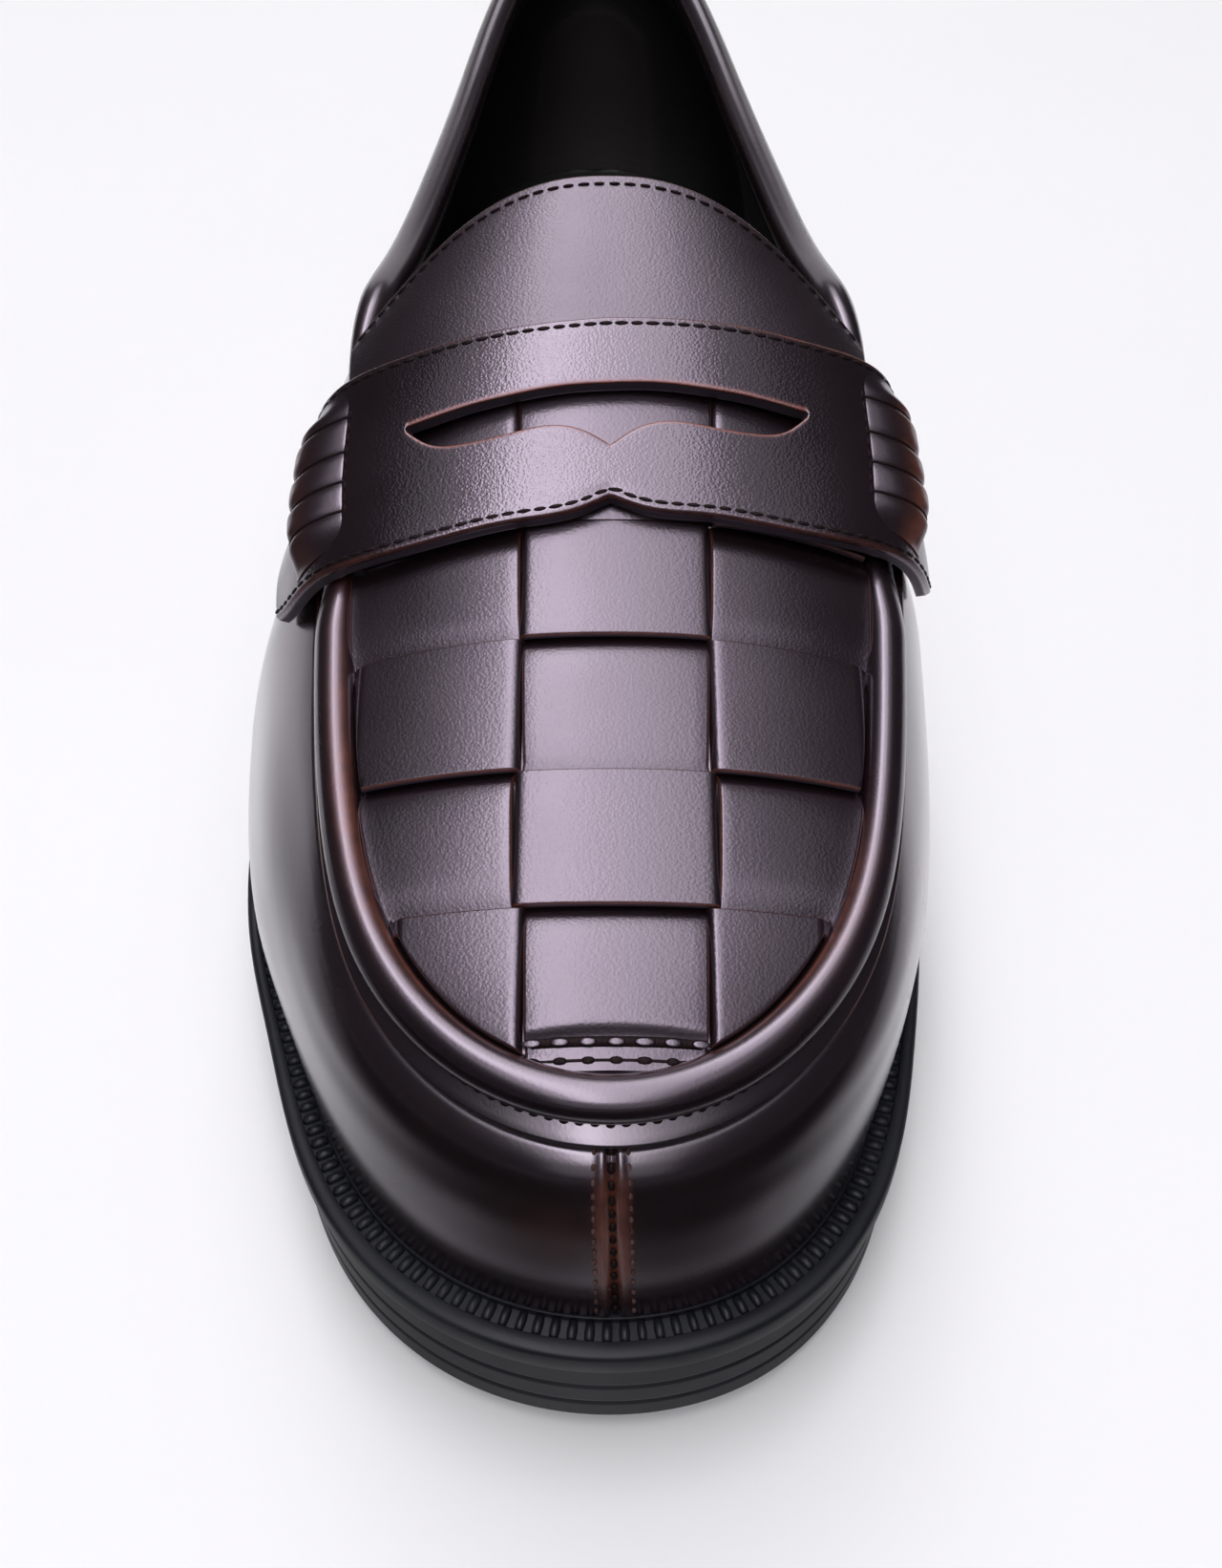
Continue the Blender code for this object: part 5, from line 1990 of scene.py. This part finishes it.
@dataclass
class SeamRoll(SubAssembly):
    """Fat rolled seam between the plug and the flange."""

    height: float = 4.0
    pressed: float = 1.8
    stand: float = 0.3
    spread: float = 1.07
    end_y: float = -57.0
    press_start: float = -73.0
    around: int = 34
    steps: int = 300
    tuck: float = 0.75
    side_soft: float = 0.5
    # rubbed brown on either side: by angle round the roll, by place along the shoe
    lateral_glows: tuple[Glow, ...] = (Glow(0.7, (0.5, 0.42), (-95.0, 22.0)),)
    medial_glows: tuple[Glow, ...] = (
        Glow(0.7, (2.75, 0.3), (-74.0, 9.0)), Glow(0.12, (2.75, 0.3), (0.0, math.inf)),
        Glow(0.3, (0.5, 0.42), (-112.0, 12.0)),
    )
    toe_line: Glow = Glow(0.5, (0.12, 0.10), (-120.0, 14.0))

    def build(self) -> None:
        """Builds the roll round the front of the plug."""
        last = self.shop.last
        ends = [float(last.places(side, EDGE_Y, np.array([self.end_y]))[0]) for side in Side]
        around = last.from_toe(np.array(ends))
        distance = np.linspace(around.max(), around.min(), self.steps)
        places = distance % last.length
        y = last.section(places)[:, EDGE_Y]
        height = self.height + (self.pressed - self.height) * smooth_step(y, self.press_start, self.end_y)
        _, normal, _ = last.seat_axes(places)
        outer, inner = last.seat_points(places, last.flange_end), last.seat_points(places, 1.0)
        middle, half = (outer + inner) / 2, (inner - outer) / 2
        angle = np.linspace(-self.tuck, math.pi + self.tuck, self.around)
        rise = FIT + height[:, None] * (self.stand + (1 - self.stand) * np.sin(angle))
        sections = (middle[:, None] + self.spread * half[:, None] * np.cos(angle)[:, None]
                    + normal[:, None] * rise[..., None])
        lateral = smooth_step(distance, -self.side_soft, self.side_soft)[:, None]
        row = y[:, None]
        warm = self.toe_line.at(angle, row)
        for part, glows in ((lateral, self.lateral_glows), (1 - lateral, self.medial_glows)):
            warm = warm + part * sum(glow.at(angle, row) for glow in glows)
        draft = Draft()
        draft.tube(sections, warm)
        roll = draft.make("seam_roll_piping", [self.shop.finishes.roll], sharp=25.0)
        self.settle(roll, "roll_leather", "seam_roll")


@dataclass
class Tongue(SubAssembly):
    """Tongue behind the plug, arched over the instep, with a stitched rounded top."""

    front_y: float = -37.6
    top_y: float = -11.7
    corner_y: float = -25.5
    corner_power: float = 2.2
    thick: float = 1.8
    sink: float = -0.4
    sink_power: int = 4
    across: int = 101
    rows: int = 26
    last_rows: Span = (0.08, 0.06)
    rounding: float = 0.5
    seam_depth: float = 0.12
    seam_half: float = 0.7
    edge_rub: float = 0.35
    edge_rub_half: float = 0.4
    stitch_inset: float = 1.5
    stitch_end: float = 0.97
    stitch_lift: float = 0.02
    stitch: Stitch = Stitch(2.2, 1.7, 0.45, 0.4)

    def point_rows(self, share: Array, depth: Array) -> Array:
        """Works out points of the tongue's underside at shares across it and along it.

        Args:
            share: Places across, from -1 to 1.
            depth: Places along, from 0 to 1.

        Returns:
            The points.
        """
        last = self.shop.last
        top = self.top_y + (self.corner_y - self.top_y) * np.abs(share) ** self.corner_power
        y = self.front_y + (top - self.front_y) * depth
        reading = np.minimum(y, self.corner_y)
        left, right = last.edge_at(Side.LATERAL, reading), last.edge_at(Side.MEDIAL, reading)
        x = left[..., 0] + (right[..., 0] - left[..., 0]) * (share + 1) / 2
        points = last.vamp_points(x, y, last.instep_power, edge_y=reading)
        return points + UP * (FIT + (self.sink - FIT) * (1 - share**self.sink_power))[..., None]

    def build(self) -> None:
        """Builds the tongue and sews its top edge."""
        share = np.linspace(-1.0, 1.0, self.across)
        length = self.top_y - self.front_y
        distance, taken = np.array(EDGE_ROUND)[::-1].T
        before, near = self.last_rows
        rows = np.linspace(0.0, 1.0 - before, self.rows)
        depth = np.concatenate([rows, [1.0 - near], 1.0 - distance / length])
        drop = np.concatenate([np.zeros(self.rows + 1), taken]) * self.rounding
        grid = self.point_rows(*np.meshgrid(share, depth))
        normals = -grid_normals(grid)
        to_top = (1 - depth) * length
        seam = self.seam_depth * hill(to_top, self.stitch_inset, self.seam_half)
        outer = grid + normals * (self.thick - drop - seam)[:, None, None]
        rub = self.edge_rub * hill(to_top, 0.0, self.edge_rub_half)
        warm = np.broadcast_to(rub[:, None], outer.shape[:2])
        faces = [face[::-1] for face in quads(np.arange(grid[..., 0].size).reshape(grid.shape[:2]))]
        draft = Draft()
        draft.shell(outer, grid, faces, warm.ravel(), inner_slot=1)
        tongue = draft.make("tongue_flap", [self.shop.finishes.tongue, self.shop.finishes.lining])
        self.settle(tongue, "upper_leather", "tongue")
        share = share[np.abs(share) < self.stitch_end]
        row = self.point_rows(share, np.full(len(share), 1 - self.stitch_inset / length))
        ends = (self.across - len(share)) // 2
        facing = normals[len(depth) // 2, ends:self.across - ends]
        path = row + facing * (self.thick + self.stitch_lift)
        self.stitches("tongue_thread", [(path, facing)], "upper_leather", self.stitch)


@dataclass
class SaddleStrap(SubAssembly):
    """Strap over the instep with a slot, a notch and painted edges."""

    thick: float = 2.2
    rounding: float = 0.8
    slot_rounding: float = 0.25
    rounded_width: float = 4.0
    edge_rub: tuple[float, ...] = (0.3, 1.2, 1.1, 0.35, 0.0)
    front_rub: float = 0.2
    rear_rub: Span = (0.35, 1.0)
    rear_rub_start: Span = (0.1, 0.35)
    end_columns: tuple[float, ...] = (0.0015, 0.004, 0.009)
    end_length: float = 60.0
    end_round: float = 0.7
    seam_depth: float = 0.14
    seam_half: float = 0.55
    stitch_inset: float = 1.05
    stitch_end: float = 0.885
    stitch_sink: float = 0.1
    stitch: Stitch = Stitch(2.1, 1.9, 0.62, 0.45)
    columns: int = 261
    band_rows: int = 14
    tip_reach: float = 0.006

    def outline(self, table: Array, across: Array) -> tuple[Array, Array]:
        """Returns the front and rear edge of a mirrored outline at places across the strap."""
        edges = Spline(table[:, 0], table[:, 1:])(np.minimum(np.abs(across), table[-1, 0]))
        return edges[:, 0], edges[:, 1]

    def band(self, low: Array, high: Array, low_round: Array,
             high_round: Array) -> tuple[Array, Array, Array]:
        """Spreads rows between two edges, close together where an edge is rounded.

        Args:
            low: Front edge at each column.
            high: Rear edge at each column.
            low_round: Height taken off the front edge, 0 where the leather goes on.
            high_round: The same for the rear edge.

        Returns:
            The y, the height taken off and the rubbed brown of each point.
        """
        rounding = np.array(EDGE_ROUND)
        inner = np.linspace(0.0, 1.0, self.band_rows)[1:-1]
        reach = np.minimum(1.0, (high - low) / self.rounded_width)[:, None]
        front = low[:, None] + rounding[:, 0] * reach
        rear = high[:, None] - rounding[::-1, 0] * reach
        y = np.column_stack([front, front[:, -1:] + (rear[:, :1] - front[:, -1:]) * inner, rear])
        blank = np.zeros((len(low), len(inner)))
        drop = np.column_stack([rounding[:, 1] * low_round[:, None], blank,
                                rounding[::-1, 1] * high_round[:, None]])
        line = np.array(self.edge_rub)
        warm = np.column_stack([line * (low_round[:, None] > 0), blank,
                                line[::-1] * (high_round[:, None] > 0)])
        return y.T, drop.T, warm.T

    def build(self) -> None:
        """Builds the strap in a front and a rear band round the slot, and sews both edges."""
        bed = self.shop.bed
        end, tip = STRAP_EDGES[-1, 0], SLOT_EDGES[-1, 0]
        across = np.linspace(-end, end, self.columns)
        extra = np.array(self.end_columns)
        across = np.unique(np.concatenate([across, [-tip, tip, -tip - self.tip_reach, tip + self.tip_reach],
                                           end - extra, extra - end]))
        front, rear = self.outline(STRAP_EDGES, across)
        slot_front, slot_rear = self.outline(SLOT_EDGES, across)
        is_open = np.abs(across) <= tip
        joint = (slot_front + slot_rear) / 2
        slot_front, slot_rear = np.where(is_open, slot_front, joint), np.where(is_open, slot_rear, joint)
        cut, whole = self.slot_rounding * is_open, np.full(len(across), self.rounding)
        bands = [self.band(front, slot_front, whole, cut), self.band(slot_rear, rear, cut, whole)]
        y = np.vstack([bands[0][0], bands[1][0]])
        drop = np.vstack([bands[0][1], bands[1][1]])
        warm = np.vstack([bands[0][2], bands[1][2]])
        rows = len(bands[0][0])
        warm[:len(EDGE_ROUND)] *= self.front_rub
        least, most = self.rear_rub
        warm[-len(EDGE_ROUND):] *= least + (most - least) * smooth_step(across, *self.rear_rub_start)
        places = np.broadcast_to(across, y.shape)
        end_distance = (end - np.abs(places)) * self.end_length
        drop = np.maximum(drop, self.rounding * (1 - smooth_step(end_distance, 0.0, self.end_round)))
        for line in (front + self.stitch_inset, rear - self.stitch_inset):
            drop = drop + self.seam_depth * hill(y - line, 0.0, self.seam_half)
        outer = bed.points_at(places, y, self.thick - drop)
        inner = bed.points_at(places, y, np.zeros(y.shape))
        numbers = np.arange(y.size).reshape(y.shape)
        numbers[rows] = np.where(is_open, numbers[rows], numbers[rows - 1])
        faces = quads(numbers[:rows]) + quads(numbers[rows:])
        draft = Draft()
        draft.shell(outer, inner, faces, warm.ravel())
        strap = draft.make("saddle_strap", [self.shop.finishes.strap], sharp=55.0)
        self.settle(strap, "strap_leather", "strap")
        self.sew(across, front, rear)

    def sew(self, across: Array, front: Array, rear: Array) -> None:
        """Sews along the front and the rear edge.

        Args:
            across: Places across the strap.
            front: Front edge there.
            rear: Rear edge there.
        """
        paths = []
        keep = np.abs(across) < self.stitch_end
        for line in (front + self.stitch_inset, rear - self.stitch_inset):
            points, facing = self.shop.bed.frame(across[keep], line[keep])
            paths.append((points + facing * (self.thick - self.stitch_sink), facing))
        self.stitches("strap_thread", paths, "strap_leather", self.stitch)


@dataclass
class BeefRoll(SubAssembly):
    """Wrapped bundle at one end of the strap: soft lobes between thin cords."""

    side: Side = Side.LATERAL
    place: float = 0.655
    half: float = 0.075
    front_y: float = -61.0
    rear_y: float = -37.0
    cord_rows: tuple[float, ...] = (-56.1, -51.6, -47.1, -41.9)
    height: float = 2.3
    taper: float = 5.0
    end_height: float = 0.15
    pinch: float = 0.25
    pinch_half: float = 0.8
    slope: float = 0.7
    sink: float = 0.2
    cord: float = 0.20
    steps: int = 121
    around: int = 27
    tuck: float = 0.25
    rub: Span = (0.45, 0.4)
    rub_strength: float = 0.55
    lateral_rub: float = 0.25
    cord_points: int = 30
    seam_points: int = 40
    seam_gap: float = 0.004
    stitch: Stitch = Stitch(1.9, 1.5, 0.5, 0.45)

    def lobe(self, y: Array) -> Array:
        """Works out the share of the full height along the bundle.

        Args:
            y: Places along the shoe.

        Returns:
            The shares.
        """
        ends = smooth_step(y, self.front_y, self.front_y + self.taper)
        ends = ends * smooth_step(y, self.rear_y, self.rear_y - self.taper)
        pinched = sum(hill(y, row, self.pinch_half) for row in self.cord_rows)
        return (self.end_height + (1 - self.end_height) * ends) * (1 - self.pinch * pinched)

    def section(self, y: Array, angle: Array) -> Array:
        """Works out points of the bundle at each y and angle round it, lower on its inner side.

        Args:
            y: Places along the shoe.
            angle: Angles round the bundle.

        Returns:
            The points.
        """
        across = self.side.value * self.place + self.half * np.cos(angle)
        inward = -self.side.value * np.cos(angle)
        lift = self.height * self.lobe(y) * np.sin(angle) * (1 - self.slope * inward)
        return self.shop.bed.points_at(across, y, SaddleStrap.thick - self.sink + lift)

    def build(self) -> None:
        """Builds the lobes, lays a cord in each valley and sews the inner seam."""
        y = np.linspace(self.front_y, self.rear_y, self.steps)[:, None]
        angle = np.linspace(-self.tuck, math.pi + self.tuck, self.around)[None, :]
        warm = self.rub_strength * hill(np.cos(angle) * self.side.value, *self.rub) * np.ones_like(y)
        if self.side is Side.LATERAL:
            warm = warm * self.lateral_rub
        draft = Draft()
        draft.tube(self.section(y, angle), warm)
        name = "beef_roll_" + self.side.name.lower()
        finishes = self.shop.finishes
        self.settle(draft.make(name + "_lobes", [finishes.roll]), "roll_leather", name)
        around = np.linspace(0.0, math.pi, self.cord_points)
        paths = []
        for row in self.cord_rows:
            points = self.section(np.full(len(around), row), around)
            paths.append((points, np.broadcast_to(UP, points.shape)))
        cords = self.shop.repeats.make(name + "_cords", Repeat.CORD, paths, {"Width": self.cord},
                                       finishes.thread)
        self.settle(cords, "roll_leather")
        y = np.linspace(self.cord_rows[0], self.cord_rows[-1], self.seam_points)
        seam = self.side.value * (self.place - self.half - self.seam_gap)
        points, facing = self.shop.bed.frame(np.full(len(y), seam), y)
        path = points + facing * SaddleStrap.thick
        self.stitches(name + "_thread", [(path, facing)], "strap_leather", self.stitch)


@dataclass
class TopBinding(SubAssembly):
    """Rolled binding on the top line, from one side of the tongue round the heel to the other."""

    radius: float = 2.8
    thin: float = 1.4
    sink: float = 1.3
    outset: float = 1.3
    flat: float = 0.5
    start_y: float = -38.0
    dive: Span = (-34.0, -10.0)
    around: int = 28
    steps: int = 420
    start_gap: float = 0.5

    def build(self) -> None:
        """Builds the binding."""
        last = self.shop.last
        heel_y = SECTIONS[HEEL_ROW, EDGE_Y]
        rows = spaced_rows(2 * self.start_y - heel_y, heel_y, self.steps)
        rows = np.insert(rows[rows > self.start_y + self.start_gap], 0, self.start_y)
        lateral, medial = last.places(Side.LATERAL, EDGE_Y, rows), last.places(Side.MEDIAL, EDGE_Y, rows)
        places = np.concatenate([lateral, [last.heel_place], medial[::-1]])
        outward = last.plan_normal(places, EDGE_X)
        full = smooth_step(last.section(places)[:, EDGE_Y], *self.dive)[:, None]
        radius = self.thin + (self.radius - self.thin) * full
        rise = FIT + self.flat * radius - self.sink * (1 - full)
        middle = last.edge(places) + outward * (self.outset * (1 - full) - last.wall / 2) + UP * rise
        dip = math.asin(self.flat)
        angle = np.linspace(-dip, math.pi + dip, self.around)
        ring = outward[:, None] * np.cos(angle)[:, None] + UP * np.sin(angle)[:, None]
        sections = middle[:, None] + radius[:, None] * ring
        draft = Draft()
        draft.tube(sections)
        self.settle(draft.make("top_binding", [self.shop.finishes.roll]), "roll_leather", "collar_roll")


@dataclass(frozen=True)
class SoftBox:
    """One soft light: where it hangs, where it points and how strong it is."""

    name: str
    place: Colour
    target: Colour
    size: Span
    radiance: float
    colour: Colour = (1.0, 0.98, 1.0)

    def make(self) -> None:
        """Hangs the light."""
        light = bpy.data.lights.new(self.name, "AREA")
        light.shape = "RECTANGLE"
        light.size, light.size_y = self.size
        light.energy = self.radiance * math.pi * self.size[0] * self.size[1]
        light.color = self.colour
        item = link(self.name, light)
        item.location = self.place
        item.visible_camera = False
        way = np.array(self.target) - np.array(self.place)
        item.rotation_euler = (math.atan2(math.hypot(way[0], way[1]), -way[2]), 0.0,
                               math.atan2(-way[0], way[1]))


@dataclass
class Studio:
    """Pale floor, soft light and the camera, with lengths in metres."""

    finishes: Finishes
    picture: tuple[int, int] = (1280, 1642)
    focal_pixels: float = 1700.0
    sensor: float = 36.0
    camera_place: Colour = (0.005, -0.239, 0.2047)
    camera_tilt: float = 45.4
    camera_near: float = 0.01
    floor_half: float = 3.0
    sky: Colour = (0.93, 0.93, 1.0)
    sky_strength: float = 0.05
    backdrop: Colour = (0.90, 0.90, 0.92)
    # rim of the black card: place across, and where along the shoe it starts, is half black and is black
    card_rows: tuple[tuple[float, float, float, float], ...] = (
        (-0.460, 0.098, 0.096, 0.094), (-0.260, 0.060, -0.010, -0.130), (-0.150, 0.020, -0.035, -0.140),
        (-0.105, -0.010, -0.060, -0.150), (-0.065, -0.060, -0.110, -0.160), (-0.045, -0.100, -0.146, -0.172),
        (0.000, -0.152, -0.172, -0.186), (0.045, -0.100, -0.146, -0.170), (0.065, -0.070, -0.112, -0.160),
        (0.105, -0.040, -0.082, -0.155), (0.150, -0.010, -0.065, -0.150), (0.260, 0.040, -0.030, -0.140),
        (0.400, 0.098, 0.096, 0.094),
    )
    card_tones: tuple[float, ...] = (0.0, 0.5, 1.0, 1.0)
    card_reach: float = 1.6
    lights: tuple[SoftBox, ...] = (
        SoftBox("top_left_light", (-0.30, -0.30, 2.0), (-0.30, -0.30, 0.0), (0.40, 4.6), 7.0),
        SoftBox("top_right_light", (0.16, -0.30, 2.0), (0.16, -0.30, 0.0), (0.54, 4.6), 3.2),
        SoftBox("far_left_light", (-0.80, -1.55, 2.0), (-0.80, -1.55, 0.0), (0.58, 2.1), 1.2),
        SoftBox("far_right_light", (0.73, -1.55, 2.0), (0.73, -1.55, 0.0), (0.58, 2.1), 1.0),
        SoftBox("side_left_light", (-0.80, 0.75, 2.0), (-0.80, 0.75, 0.0), (0.58, 2.5), 0.5),
        SoftBox("side_right_light", (0.73, 0.75, 2.0), (0.73, 0.75, 0.0), (0.58, 2.5), 0.5),
        SoftBox("top_back_light", (-0.10, 2.6, 2.0), (-0.10, 2.6, 0.0), (1.0, 1.2), 1.6),
        SoftBox("front_light", (0.0, -0.95, 0.45), (0.0, -0.14, 0.05), (0.66, 0.5), 0.5),
        SoftBox("back_light", (-0.05, 1.8, 0.35), (-0.05, 0.0, 0.1), (1.5, 0.7), 0.6),
    )

    def build(self) -> None:
        """Sets up floor, light and camera."""
        self.add_floor()
        self.add_card()
        self.add_sky()
        for light in self.lights:
            light.make()
        self.add_camera()
        bpy.context.scene.view_settings.view_transform = "Standard"

    def add_floor(self) -> None:
        """Lays the floor."""
        half = self.floor_half
        mesh = bpy.data.meshes.new("floor")
        mesh.from_pydata([(-half, -half, 0.0), (half, -half, 0.0), (half, half, 0.0), (-half, half, 0.0)],
                         [], [(0, 1, 2, 3)])
        mesh.materials.append(self.finishes.floor)
        floor = link("floor", mesh)

    def add_card(self) -> None:
        """Lays a card that fades to black in front of the toe, seen only in the gloss of the leather."""
        rows = np.array(self.card_rows)
        rows = np.vstack([rows[:1], rows, rows[-1:]])
        rows[[0, -1], 0] = -self.card_reach, self.card_reach
        across = rows[:, 0]
        lines = [*rows[:, 1:].T, np.full(len(rows), -self.card_reach)]
        points = np.vstack([np.column_stack([across, line, np.full(len(rows), MM)]) for line in lines])
        mesh = bpy.data.meshes.new("black_card")
        mesh.from_pydata(points.tolist(), [], quads(np.arange(len(points)).reshape(len(lines), -1)))
        mesh.materials.append(self.finishes.floor)
        blackened = mesh.attributes.new("blackened", "FLOAT", "POINT")
        blackened.data.foreach_set("value", np.repeat(self.card_tones, len(rows)).astype(np.float32))
        card = link("black_card", mesh)
        card.visible_camera = False
        card.visible_diffuse = False
        card.visible_shadow = False

    def add_sky(self) -> None:
        """Fills the room with dim even light behind a pale backdrop."""
        world = bpy.data.worlds.new("studio")
        world.use_nodes = True
        nodes = Nodes(world.node_tree)
        background = world.node_tree.nodes["Background"]
        direct = nodes.add("ShaderNodeLightPath").outputs["Is Camera Ray"]
        dim = tuple(channel * self.sky_strength for channel in self.sky)
        nodes.put(background.inputs["Color"], nodes.mix(direct, dim, self.backdrop))
        bpy.context.scene.world = world

    def add_camera(self) -> None:
        """Sets the camera at the photograph's viewing angle."""
        camera = bpy.data.cameras.new("camera")
        camera.sensor_width = self.sensor
        camera.lens = self.focal_pixels / max(self.picture) * self.sensor
        camera.clip_start = self.camera_near
        item = link("camera", camera)
        item.location = self.camera_place
        item.rotation_euler = (math.radians(self.camera_tilt), 0.0, 0.0)
        bpy.context.scene.camera = item


def main() -> None:
    """Builds the shoe from the sole up, then the studio round it."""
    logging.basicConfig(level=logging.INFO, format="%(name)s %(message)s")
    for item in list(bpy.data.objects):
        bpy.data.objects.remove(item, do_unlink=True)
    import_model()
    last = Last()
    finishes = Finishes(Effects())
    shop = Workshop(last, StrapBed(last), finishes, Repeats())
    Outsole(shop).build()
    Welt(shop).build()
    Sock(shop).build()
    Upper(shop).build()
    WovenPlug(shop).build()
    SeamRoll(shop).build()
    Tongue(shop).build()
    SaddleStrap(shop).build()
    for side in Side:
        BeefRoll(shop, side).build()
    TopBinding(shop).build()
    Studio(finishes).build()


if __name__ == "__main__":
    main()
